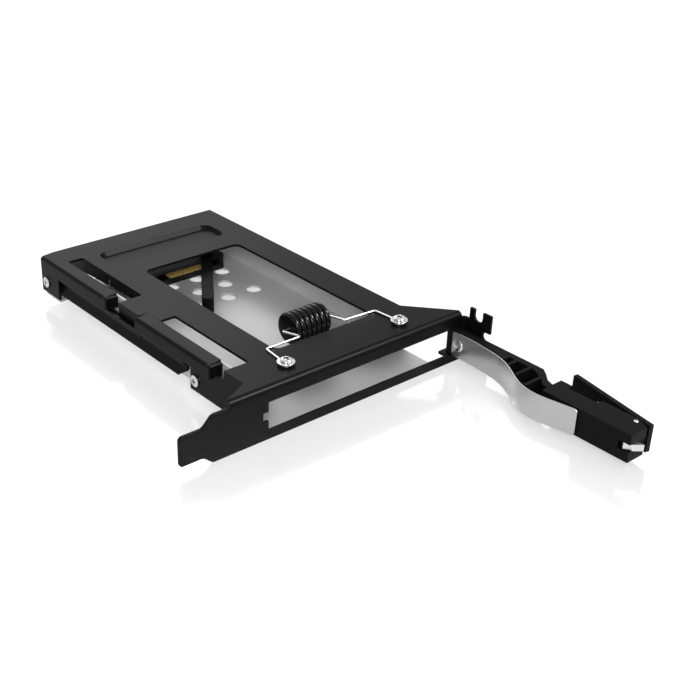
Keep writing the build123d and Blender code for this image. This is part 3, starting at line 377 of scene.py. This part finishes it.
def strip(line, thickness, low, high, corner, rounding):
    """A strip on edge: a rounded oblong, thickness by height, carried along a line in plan.

    Across the line the oblong's points move along the line's normal, and over the last corner's
    length the height shrinks from both sides in step, which cuts the end's two corners off.
    """
    ahead = np.gradient(line, axis=0)
    ahead /= np.linalg.norm(ahead, axis=1)[:, None]
    normal = np.stack([-ahead[:, 1], ahead[:, 0]], axis=-1)
    left = np.linalg.norm(np.diff(line, axis=0), axis=1)[::-1].cumsum()[::-1]
    cut = np.clip(corner - np.append(left, 0), 0, corner)[:, None]
    angle = np.linspace(0, np.pi / 2, CORNER_STEPS)
    arc = np.stack([np.cos(angle), np.sin(angle)], axis=-1)
    quarter = arc * rounding
    half = thickness / 2 - rounding
    tall = (high - low) / 2 - rounding
    turns = [((1, 1), quarter), ((-1, 1), (quarter * (-1, 1))[::-1]), ((-1, -1), -quarter)]
    turns.append(((1, -1), (quarter * (1, -1))[::-1]))
    section = np.concatenate([np.array(side) * (half, tall) + bend for side, bend in turns])
    across, up = section.T
    plan = line[:, None, :] + across[None, :, None] * normal[:, None, :]
    height = (low + high) / 2 + up[None, :] - np.sign(up)[None, :] * cut
    grid = np.concatenate([plan, height[:, :, None]], axis=-1)
    ends = [np.broadcast_to(grid[at].mean(axis=0), grid[at].shape)[None] for at in (0, -1)]
    return np.concatenate([ends[0], grid, ends[1]])


STRIP_GRAIN = 0.5
STRIP_STRETCH = (0.15, 0.15, 1)

spring_steel = blank("hard-rolled spring steel strip")
place = add_node(spring_steel, "TexCoord", {}).outputs["Object"]
along = add_node(spring_steel, "Mapping", {"Vector": place, "Scale": STRIP_STRETCH})
grain = add_node(
    spring_steel, "TexNoise", {"Vector": along.outputs[0], "Scale": per(STRIP_GRAIN), "Detail": 3.0}
)
tone = add_node(
    spring_steel, "Mix", {0: grain.outputs["Fac"], 6: srgb("a4a4a4"), 7: srgb("b0b0b0")}, data_type="RGBA"
)
rough = add_node(spring_steel, "MapRange", {"Value": grain.outputs["Fac"], "To Min": 0.26, "To Max": 0.36})
metal = add_node(
    spring_steel,
    "BsdfPrincipled",
    {"Base Color": tone.outputs[2], "Metallic": 1.0, "Roughness": rough.outputs["Result"]},
)
add_node(spring_steel, "OutputMaterial", {"Surface": metal.outputs[0]})

leaf_line = np.concatenate([[LEAF_ROOT], smooth_line(LEAF_PLACES, LEAF_ENDS, LEAF_STEPS)])
leaf_grid = strip(leaf_line, LEAF_THICKNESS, LEAF_LOW, LEAF_HIGH, LEAF_CORNER, LEAF_EDGE)
leaf = skin("leaf_strip", [leaf_grid], spring_steel, wrap=(False, True))
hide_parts("leaf_spring")
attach(leaf, "door")

# The rivet that holds the leaf: soft steel, nickel plated, its head pressed to a low dome over the
# leaf and its shank set in the door's root.
RIVET_PLACE = (44.87, -3.4, 8.2)
RIVET_HEAD = (2.1, 0.5)
RIVET_SHANK = (1.1, 3.1)
RIVET_DOME_STEPS = 14
RIVET_SIDES = 48

head_radius, head_dome = RIVET_HEAD
shank_radius, shank_length = RIVET_SHANK
below_head = [(head_radius, 0), (shank_radius, 0), (shank_radius, -shank_length), (0, -shank_length)]
rivet_profile = np.concatenate([domed(head_radius, head_dome, RIVET_DOME_STEPS), below_head])
rivet_grid = turned(rivet_profile, RIVET_SIDES) @ facing((-1, 0, 0)) + RIVET_PLACE
rivet = skin("leaf_rivet_domed", [rivet_grid], nickel)
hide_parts("leaf_rivet")
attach(rivet, "door")


# Latch lever and its hook: the lever is moulded like the door, and the hook is a steel blade set in
# it. The hook was blanked and polished where it slides behind the strike.
dress("latch_lever", moulded_nylon)

RUB_PATCH = 0.8
HOOK_EDGE = 0.1

hook_steel = blank("polished blanked steel")
place = add_node(hook_steel, "TexCoord", {}).outputs["Object"]
rub = add_node(hook_steel, "TexNoise", {"Vector": place, "Scale": per(RUB_PATCH), "Detail": 3.0})
tone = add_node(
    hook_steel, "Mix", {0: rub.outputs["Fac"], 6: srgb("c0c0be"), 7: srgb("d2d2d0")}, data_type="RGBA"
)
rough = add_node(hook_steel, "MapRange", {"Value": rub.outputs["Fac"], "To Min": 0.22, "To Max": 0.36})
edge = add_node(hook_steel, "Bevel", {"Radius": HOOK_EDGE * MM}, samples=EDGE_SAMPLES)
metal = add_node(
    hook_steel,
    "BsdfPrincipled",
    {
        "Base Color": tone.outputs[2],
        "Metallic": 1.0,
        "Roughness": rough.outputs["Result"],
        "Normal": edge.outputs["Normal"],
    },
)
add_node(hook_steel, "OutputMaterial", {"Surface": metal.outputs[0]})
dress("latch_hook", hook_steel)


# The lever's spring: a compression spring coiled from bright wire, with closed ends. It stands in a
# bore of the latch block and presses the lever out.
COIL_FOOT = np.array([39.15, -56.9, 8.2])
COIL_HEAD = np.array([50.5, -58.5, 8.2])
COIL_RADIUS = 1.25
COIL_WIRE = 0.25
COIL_TURNS = 8
COIL_CLOSED = 0.8
COIL_STEPS = 24
COIL_SIDES = 8


def tube(line, radius, sides, beside):
    """A round wire: a circle carried along a line of points, square to the line at each of them.

    The circle's first direction is the line's direction crossed with beside, its second is square
    to both, and its radius is nothing at the two ends, which closes them.
    """
    ahead = np.gradient(line, axis=0)
    ahead /= np.linalg.norm(ahead, axis=1)[:, None]
    first = np.cross(ahead, beside)
    first /= np.linalg.norm(first, axis=1)[:, None]
    second = np.cross(ahead, first)
    turn = np.linspace(0, 2 * np.pi, sides, endpoint=False)[None, :, None]
    ring = radius * (first[:, None] * np.cos(turn) + second[:, None] * np.sin(turn))
    ring = np.concatenate([0 * ring[:1], ring, 0 * ring[-1:]])
    middle = np.concatenate([line[:1], line, line[-1:]])
    return middle[:, None] + ring


def coiled(foot, head, radius, turns, closed, per_turn):
    """A helix from foot to head: an angle that grows evenly and a rise that pauses at closed ends."""
    share = np.linspace(0, 1, int(turns * per_turn))
    pause = closed / turns
    rise = np.clip((share - pause) / (1 - 2 * pause), 0, 1)[:, None]
    axis = (head - foot) / np.linalg.norm(head - foot)
    first, second, _ = facing(axis)
    angle = (2 * np.pi * turns * share)[:, None]
    return foot + rise * (head - foot) + radius * (first * np.cos(angle) + second * np.sin(angle))


coil_line = coiled(COIL_FOOT, COIL_HEAD, COIL_RADIUS, COIL_TURNS, COIL_CLOSED, COIL_STEPS)
coil_grid = tube(coil_line, COIL_WIRE, COIL_SIDES, COIL_HEAD - COIL_FOOT)
coil = skin("lever_coil", [coil_grid], spring_steel, wrap=(False, True))
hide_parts("lever_spring")
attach(coil, "door")
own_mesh(coil)


# Roller: seven ribs moulded in one with the barrel in black rubber, turning on the wire. Fresh from
# a polished mould it is glossy, so each rib carries a narrow streak of light.
ROLLER_ENDS = (-5.8, 9.2)
ROLLER_MIDDLE = (27.4, 17.85)
ROLLER_RIBS = 7
RIB_TOP, RIB_VALLEY = 5.6, 4.5
ROLLER_BORE = 0.55
RIB_FULLNESS = 2.0
RIB_STEPS = 15
ROLLER_SIDES = 72
BLOOM_PATCH = 3

gloss_rubber = blank("polished black rubber")
place = add_node(gloss_rubber, "TexCoord", {}).outputs["Object"]
bloom = add_node(gloss_rubber, "TexNoise", {"Vector": place, "Scale": per(BLOOM_PATCH), "Detail": 3.0})
tone = add_node(
    gloss_rubber, "Mix", {0: bloom.outputs["Fac"], 6: srgb("030303"), 7: srgb("060606")}, data_type="RGBA"
)
rough = add_node(gloss_rubber, "MapRange", {"Value": bloom.outputs["Fac"], "To Min": 0.15, "To Max": 0.20})
rubber = add_node(
    gloss_rubber,
    "BsdfPrincipled",
    {"Base Color": tone.outputs[2], "Roughness": rough.outputs["Result"], "Specular IOR Level": 0.16},
)
add_node(gloss_rubber, "OutputMaterial", {"Surface": rubber.outputs[0]})

rib_share = np.linspace(-1, 1, RIB_STEPS)
rib_height = (1 - np.abs(rib_share) ** RIB_FULLNESS) ** (1 / RIB_FULLNESS)
pitch = (ROLLER_ENDS[1] - ROLLER_ENDS[0]) / ROLLER_RIBS
rib_middles = ROLLER_ENDS[0] + pitch * (np.arange(ROLLER_RIBS) + 0.5)
rib_along = (rib_middles[:, None] + rib_share * pitch / 2).ravel()
rib_radius = np.tile(RIB_VALLEY + (RIB_TOP - RIB_VALLEY) * rib_height, ROLLER_RIBS)
ribs = np.stack([rib_radius, rib_along], axis=-1)
near_bore, far_bore = ([(ROLLER_BORE, end)] for end in ROLLER_ENDS)
roller_profile = np.concatenate([near_bore, ribs, far_bore, near_bore])
roller_grid = turned(roller_profile, ROLLER_SIDES) @ facing((1, 0, 0)) + (0, *ROLLER_MIDDLE)
roller = skin("roller_rubber", [roller_grid], gloss_rubber)
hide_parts("ribbed_roller")
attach(roller, "roller")


# Wire: one length of bright drawn spring wire, bent cold round pegs. It makes an eye under each
# washer, runs along the window's front edge and dips through the roller as its axle.
WIRE_RADIUS = 0.38
WIRE_Z = 18.8
WIRE_BEND = 1.0
EYE_RADIUS = 2.05
EYE_START = 115
EYE_SWEEP = 300
SCREW_PLACES = ((-22.1, 8.1), (26.5, 7.6))
WIRE_LEFT = ((-21.1, 19.5), (-6.6, 19.4))
WIRE_RIGHT = ((12.6, 19.7), (25.7, 18.7))
AXLE_OUT = 2.4
DRAW_MARK = 0.7
WIRE_SIDES = 16
BEND_STEPS = 8
EYE_STEPS = 40


def bent(corners, radius, steps):
    """Straight runs joined by arcs: at each corner the arc touches both runs at the same distance
    from the corner, radius over the tangent of half the corner's angle, and keeps to their plane."""
    corners = np.array(corners, float)
    pieces = [corners[:1]]
    for before, corner, after in zip(corners[:-2], corners[1:-1], corners[2:]):
        inward = (before - corner) / np.linalg.norm(before - corner)
        outward = (after - corner) / np.linalg.norm(after - corner)
        half = np.arccos(np.clip(inward @ outward, -1, 1)) / 2
        middle = inward + outward
        middle /= np.linalg.norm(middle)
        centre = corner + middle * radius / np.sin(half)
        start = corner + inward * radius / np.tan(half) - centre
        side = inward * -1
        sweep = np.linspace(0, np.pi - 2 * half, steps)[:, None]
        pieces.append(centre + start * np.cos(sweep) + side * radius * np.sin(sweep))
    pieces.append(corners[-1:])
    return np.concatenate(pieces)


def eye(place, first, last, steps):
    """An arc round a screw, level with the wire: x = r cos t, y = r sin t about the screw's place."""
    angle = np.radians(np.linspace(first, last, steps))
    ring = np.stack([np.cos(angle), np.sin(angle), 0 * angle], axis=-1) * EYE_RADIUS
    return ring + (*place, WIRE_Z)


(left_x, left_y), (right_x, right_y) = SCREW_PLACES
start_angle = np.radians(EYE_START)
eye_peak = EYE_RADIUS / np.sin(start_angle)
eye_start = EYE_RADIUS * np.array([np.cos(start_angle), np.sin(start_angle)])
left_start, right_start = np.array(SCREW_PLACES) + eye_start
wire_run = bent(
    [
        (*left_start, WIRE_Z),
        (left_x, left_y + eye_peak, WIRE_Z),
        (*WIRE_LEFT[0], WIRE_Z),
        (*WIRE_LEFT[1], WIRE_Z),
        (ROLLER_ENDS[0] - AXLE_OUT, *ROLLER_MIDDLE),
        (ROLLER_ENDS[1] + AXLE_OUT, *ROLLER_MIDDLE),
        (*WIRE_RIGHT[0], WIRE_Z),
        (*WIRE_RIGHT[1], WIRE_Z),
        (right_x, right_y + eye_peak, WIRE_Z),
        (*right_start, WIRE_Z),
    ],
    WIRE_BEND,
    BEND_STEPS,
)
left_eye = eye(SCREW_PLACES[0], EYE_START + EYE_SWEEP, EYE_START, EYE_STEPS)
right_eye = eye(SCREW_PLACES[1], EYE_START, EYE_START + EYE_SWEEP, EYE_STEPS)
wire_line = np.concatenate([left_eye[:-1], wire_run, right_eye[1:]])

drawn_wire = blank("bright drawn spring wire")
place = add_node(drawn_wire, "TexCoord", {}).outputs["Object"]
draw = add_node(drawn_wire, "TexNoise", {"Vector": place, "Scale": per(DRAW_MARK), "Detail": 3.0})
tone = add_node(
    drawn_wire, "Mix", {0: draw.outputs["Fac"], 6: srgb("cfcfce"), 7: srgb("e0e0df")}, data_type="RGBA"
)
rough = add_node(drawn_wire, "MapRange", {"Value": draw.outputs["Fac"], "To Min": 0.20, "To Max": 0.30})
metal = add_node(
    drawn_wire,
    "BsdfPrincipled",
    {"Base Color": tone.outputs[2], "Metallic": 1.0, "Roughness": rough.outputs["Result"]},
)
add_node(drawn_wire, "OutputMaterial", {"Surface": metal.outputs[0]})
wire_grid = tube(wire_line, WIRE_RADIUS, WIRE_SIDES, (0, 0, 1))
wire = skin("bent_wire", [wire_grid], drawn_wire, wrap=(False, True))
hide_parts("roller_wire")
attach(wire, "rack")


# Washers and screws: stamped washers with rolled edges, and cold-headed pan screws with a cross
# recess, all bright nickel plated. Two clamp the wire, four join cover and tray, two hold the board.
def washer_ring(inner, outer, thickness, rounding):
    """A washer's outline, gone round once: four straight sides joined by quarter circles."""
    angle = np.linspace(0, np.pi / 2, CORNER_STEPS)
    arc = np.stack([np.cos(angle), np.sin(angle)], axis=-1) * rounding
    top, low = thickness - rounding, rounding
    out, near = outer - rounding, inner + rounding
    return np.concatenate(
        [
            arc + (out, top),
            (arc * (-1, 1))[::-1] + (near, top),
            -arc + (near, low),
            (arc * (1, -1))[::-1] + (out, low),
        ]
    )


RECESS_WALL = 0.1
HEAD_FALL = 0.4
HEAD_SIDE = 0.15
HEAD_SEAT = 0.94
SCREW_RINGS = 30
SCREW_SIDES = 96


def cross_depth(radius, turn, recess):
    """How deep a cross recess is at a place on the head, from 0 to 1: two bars square to each other,
    each a product of two clipped ramps, so that the walls slope and the ends are rounded."""
    long_side, wide, _ = recess
    x, y = radius * np.cos(turn), radius * np.sin(turn)
    bars = [
        np.clip((wide / 2 - np.abs(a)) / RECESS_WALL, 0, 1)
        * np.clip((long_side / 2 - np.abs(b)) / RECESS_WALL, 0, 1)
        for a, b in ((x, y), (y, x))
    ]
    return np.maximum(*bars)


def pan_screw(head, height, recess, shank, length):
    """A cross-recessed screw, its seat at height 0 and its head upwards, and its recess marks, which paint
    shade into the recess.

    The head's top is low and round, h = height times (1 - fall (r / R) to the power 4). The recess
    sinks it, and below the seat the shank runs down to a cut end.
    """
    share = np.linspace(0, 1, SCREW_RINGS)[None, :]
    turn = np.linspace(0, 2 * np.pi, SCREW_SIDES, endpoint=False)[:, None]
    depth = cross_depth(head * share, turn, recess)
    top = height * (1 - HEAD_FALL * share ** 4) - recess[2] * depth
    upper = np.stack([head * share * np.cos(turn), head * share * np.sin(turn), top], axis=-1)
    rim = [(head, HEAD_SIDE * height), (HEAD_SEAT * head, 0)]
    lower = turned([*rim, (shank, 0), (shank, -length), (0, -length)], SCREW_SIDES)
    marks = np.concatenate([depth, np.zeros(lower.shape[:2])], axis=1)
    return np.concatenate([upper, lower], axis=1), marks


WASHER_SEAT = WIRE_Z + WIRE_RADIUS
WASHER = (1.22, 2.95, 0.5, 0.14)
WASHER_SIDES = 64
WIRE_SCREW = (1.95, 1.15, (2.5, 0.75, 0.6), 1.2, 5.2)

washer_profile = washer_ring(*WASHER)
washer_grids = [turned(washer_profile, WASHER_SIDES) + (x, y, WASHER_SEAT) for x, y in SCREW_PLACES]
washers = skin("clamp_washers", washer_grids, nickel, wrap=(True, True))
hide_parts("wire_washers")
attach(washers, "rack")

screw_seat = WASHER_SEAT + WASHER[2]
# The recess marks paint the cross recesses of these and the screws below near-black as painted shade.
screw_grid, screw_marks = pan_screw(*WIRE_SCREW)
screw_grids = [screw_grid + (x, y, screw_seat) for x, y in SCREW_PLACES]
screws = skin("clamp_screws", screw_grids, nickel, marks=[screw_marks] * len(screw_grids))
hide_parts("wire_screws")
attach(screws, "rack")

SIDE_SCREW = (2.0, 1.0, (2.3, 0.55, 0.55), 1.2, 2.6)
SIDE_PLACES = (
    ((-40.0, 32.0, 8.0), (-1, 0, 0)),
    ((-41.65, 125.0, 9.1), (-1, 0, 0)),
    ((36.0, 32.0, 15.95), (1, 0, 0)),
    ((36.0, 122.0, 15.95), (1, 0, 0)),
)
side_grid, side_marks = pan_screw(*SIDE_SCREW)
side_grids = [side_grid @ facing(way) + at for at, way in SIDE_PLACES]
sides = skin("joining_screws", side_grids, nickel, marks=[side_marks] * len(side_grids))
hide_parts("side_screws")
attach(sides, "rack")

BOARD_SCREW = (1.9, 1.1, (2.2, 0.55, 0.55), 1.0, 3.2)
BOARD_SCREW_PLACES = ((-18.2, 117.8, 7.1), (27.0, 117.8, 7.1))
board_grid, board_marks = pan_screw(*BOARD_SCREW)
board_grids = [board_grid + at for at in BOARD_SCREW_PLACES]
fixings = skin("board_fixings", board_grids, nickel, marks=[board_marks] * len(board_grids))
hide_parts("board_screws")
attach(fixings, "rack")


# Rear connectors, board and standoffs: the receptacle and the lead plug are moulded in black
# liquid-crystal polymer, smooth with faint flow marks. The board is glass laminate under green
# solder resist, the contacts are stamped and gold plated, and the standoffs are turned and plated.
FLOW_MARK = 1.5
FLOW_STRETCH = 0.2
POLYMER_EDGE = 0.1

flow_polymer = blank("black liquid-crystal polymer")
place = add_node(flow_polymer, "TexCoord", {}).outputs["Object"]
flow = add_node(flow_polymer, "Mapping", {"Vector": place, "Scale": (FLOW_STRETCH, 1, 1)})
mark = add_node(
    flow_polymer, "TexNoise", {"Vector": flow.outputs[0], "Scale": per(FLOW_MARK), "Detail": 3.0}
)
tone = add_node(
    flow_polymer, "Mix", {0: mark.outputs["Fac"], 6: srgb("080808"), 7: srgb("0f0f0f")}, data_type="RGBA"
)
rough = add_node(flow_polymer, "MapRange", {"Value": mark.outputs["Fac"], "To Min": 0.40, "To Max": 0.55})
edge = add_node(flow_polymer, "Bevel", {"Radius": POLYMER_EDGE * MM}, samples=EDGE_SAMPLES)
polymer = add_node(
    flow_polymer,
    "BsdfPrincipled",
    {
        "Base Color": tone.outputs[2],
        "Roughness": rough.outputs["Result"],
        "Specular IOR Level": 0.2,
        "Normal": edge.outputs["Normal"],
    },
)
add_node(flow_polymer, "OutputMaterial", {"Surface": polymer.outputs[0]})
dress("drive_connector", flow_polymer)
dress("cable_connector", flow_polymer)

WIPE_PATCH = 0.6

gold_plate = blank("hard gold plate")
place = add_node(gold_plate, "TexCoord", {}).outputs["Object"]
wipe = add_node(gold_plate, "TexNoise", {"Vector": place, "Scale": per(WIPE_PATCH), "Detail": 3.0})
tone = add_node(
    gold_plate, "Mix", {0: wipe.outputs["Fac"], 6: srgb("ecc65c"), 7: srgb("fbe093")}, data_type="RGBA"
)
rough = add_node(gold_plate, "MapRange", {"Value": wipe.outputs["Fac"], "To Min": 0.25, "To Max": 0.38})
metal = add_node(
    gold_plate,
    "BsdfPrincipled",
    {"Base Color": tone.outputs[2], "Metallic": 0.5, "Roughness": rough.outputs["Result"]},
)
add_node(gold_plate, "OutputMaterial", {"Surface": metal.outputs[0]})
dress("drive_contacts", gold_plate)

WEAVE_WIDTH = 0.7

solder_resist = blank("green solder resist on glass laminate")
place = add_node(solder_resist, "TexCoord", {}).outputs["Object"]
weave = add_node(solder_resist, "TexNoise", {"Vector": place, "Scale": per(WEAVE_WIDTH), "Detail": 3.0})
tone = add_node(
    solder_resist, "Mix", {0: weave.outputs["Fac"], 6: srgb("123a1d"), 7: srgb("1a4a26")}, data_type="RGBA"
)
rough = add_node(solder_resist, "MapRange", {"Value": weave.outputs["Fac"], "To Min": 0.26, "To Max": 0.36})
resist = add_node(
    solder_resist, "BsdfPrincipled", {"Base Color": tone.outputs[2], "Roughness": rough.outputs["Result"]}
)
add_node(solder_resist, "OutputMaterial", {"Surface": resist.outputs[0]})
dress("circuit_board", solder_resist)
dress("board_standoffs", nickel)


# Ejector: a moulded arm that turns on a shouldered, turned stud under the cover, held by a stamped
# clip. A torsion spring of drawn wire lies round the stud and bears on the cover.
dress("ejector_arm", moulded_nylon)
dress("ejector_stud", nickel)
dress("ejector_clip", spring_steel)

TORSION_FOOT = np.array([22.7, 113.4, 13.3])
TORSION_HEAD = np.array([22.7, 113.4, 15.32])
TORSION_RADIUS = 3.05
TORSION_WIRE = 0.3
TORSION_TURNS = 3.25
TORSION_LEG = (0.5, 9.0)
TORSION_LEG_STEPS = 4
TORSION_STEPS = 40

torsion_line = coiled(TORSION_FOOT, TORSION_HEAD, TORSION_RADIUS, TORSION_TURNS, 0, TORSION_STEPS)
leaving = torsion_line[-1] - torsion_line[-2]
leaving = leaving / np.linalg.norm(leaving) * (1, 1, 0)
leg = torsion_line[-1] + leaving * np.linspace(*TORSION_LEG, TORSION_LEG_STEPS)[:, None]
torsion_line = np.concatenate([torsion_line, leg])
torsion_grid = tube(torsion_line, TORSION_WIRE, COIL_SIDES, (0, 0, 1))
torsion = skin("ejector_coil", [torsion_grid], spring_steel, wrap=(False, True))
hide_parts("ejector_spring")
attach(torsion, "rack")


# Table: a white glossy board. It is white to the eye, keeps the rack's soft shadow, and shows a
# faint blurred mirror image of it.
TABLE_HALF = 3000
TABLE_TOP = -0.2
TABLE_GLOW = 0.51
TABLE_BLUR = 0.12

table_face = blank("white glossy table")
path = add_node(table_face, "LightPath", {})
eye_or_gloss = add_node(
    table_face,
    "Math",
    {0: path.outputs["Is Camera Ray"], 1: path.outputs["Is Glossy Ray"]},
    operation="ADD",
)
seen = add_node(
    table_face,
    "Math",
    {0: eye_or_gloss.outputs[0], 1: path.outputs["Is Transmission Ray"]},
    operation="ADD",
)
lit = add_node(table_face, "BsdfDiffuse", {"Color": srgb("e6e6e6")})
glow = add_node(table_face, "Emission", {"Color": srgb("ffffff"), "Strength": TABLE_GLOW})
matte = add_node(table_face, "BsdfDiffuse", {"Color": srgb("a0a0a0")})
gloss = add_node(table_face, "BsdfGlossy", {"Color": srgb("8c8c8c"), "Roughness": TABLE_BLUR})
white = add_node(table_face, "AddShader", {0: glow.outputs[0], 1: matte.outputs[0]})
mirror = add_node(table_face, "AddShader", {0: white.outputs[0], 1: gloss.outputs[0]})
face = add_node(table_face, "MixShader", {0: seen.outputs[0], 1: lit.outputs[0], 2: mirror.outputs[0]})
add_node(table_face, "OutputMaterial", {"Surface": face.outputs[0]})

corner = TABLE_HALF * np.array([[[-1, -1], [1, -1]], [[-1, 1], [1, 1]]])
table_grid = np.concatenate([corner, np.full((2, 2, 1), TABLE_TOP)], axis=-1)
table = skin("table", [table_grid], table_face, wrap=(False, False))


# Light: a plain white room, white where it is seen or mirrored and dimmer as a light, and three soft
# boxes: one behind on the right, a small one in front on the right that only draws highlights along
# folds and ribs, and a fill in front on the left that reaches the tray through the window.
ROOM_LIGHT = 0.65
LAMPS = (  # name, place and aim in metres, side in metres, watts, whether it lights dull surfaces
    ("rear box", (0.30, 0.75, 0.60), (0, 0.04, 0), 0.45, 2.5, True),
    ("front box", (0.43, -0.46, 0.74), (0.02, 0, 0), 0.20, 18.0, False),
    ("fill box", (-0.60, -0.66, 0.52), (0, 0.04, 0), 0.35, 9.0, True),
)

room = bpy.data.worlds.new("white room")
room.use_nodes = True
room.node_tree.nodes.clear()
path = add_node(room, "LightPath", {})
eye_or_gloss = add_node(
    room, "Math", {0: path.outputs["Is Camera Ray"], 1: path.outputs["Is Glossy Ray"]}, operation="ADD"
)
seen = add_node(
    room,
    "Math",
    {0: eye_or_gloss.outputs[0], 1: path.outputs["Is Transmission Ray"]},
    operation="ADD",
    use_clamp=True,
)
strength = add_node(room, "MapRange", {"Value": seen.outputs[0], "To Min": ROOM_LIGHT, "To Max": 1.0})
sky = add_node(room, "Background", {"Color": srgb("ffffff"), "Strength": strength.outputs["Result"]})
add_node(room, "OutputWorld", {"Surface": sky.outputs[0]})
bpy.context.scene.world = room
bpy.context.scene.view_settings.view_transform = "Standard"

for name, at, aim, size, power, lights in LAMPS:
    lamp = bpy.data.lights.new(name, "AREA")
    lamp.shape = "SQUARE"
    lamp.size = size
    lamp.energy = power
    box = bpy.data.objects.new(name, lamp)
    bpy.context.scene.collection.objects.link(box)
    box.visible_diffuse = lights
    box.location = at
    box.rotation_euler = (Vector(aim) - Vector(at)).to_track_quat("-Z", "Y").to_euler()


# Camera: where the photograph was taken from, found by fitting the CAD's corners to it. Focal length
# and picture centre are in pixels of the 700-pixel picture, angles in degrees, the place in mm.
FOCAL_PIXELS = 1188.45
AZIMUTH, ELEVATION, ROLL = 40.4014, 28.1541, 1.396
CAMERA_PLACE = (-230.25, -243.05, 198.24)
PICTURE_CENTRE = (300, 350)
PICTURE_SIZE = 700
SENSOR = 36

side_turn, down_turn, roll_turn = np.radians([AZIMUTH, ELEVATION, ROLL])
forward = np.array(
    [np.sin(side_turn) * np.cos(down_turn), np.cos(side_turn) * np.cos(down_turn), -np.sin(down_turn)]
)
level = np.cross(forward, (0, 0, 1))
level /= np.linalg.norm(level)
upright = np.cross(level, forward)
right = level * np.cos(roll_turn) + upright * np.sin(roll_turn)
up = upright * np.cos(roll_turn) - level * np.sin(roll_turn)

lens = bpy.data.cameras.new("camera")
lens.sensor_width = SENSOR
lens.lens = FOCAL_PIXELS * SENSOR / PICTURE_SIZE
lens.shift_x = (PICTURE_SIZE / 2 - PICTURE_CENTRE[0]) / PICTURE_SIZE
lens.shift_y = (PICTURE_CENTRE[1] - PICTURE_SIZE / 2) / PICTURE_SIZE
lens.clip_start = 0.01
camera = bpy.data.objects.new("camera", lens)
bpy.context.scene.collection.objects.link(camera)
turn = Matrix((right, up, -forward)).transposed().to_4x4()
camera.matrix_world = Matrix.Translation(Vector(CAMERA_PLACE) * MM) @ turn
bpy.context.scene.camera = camera
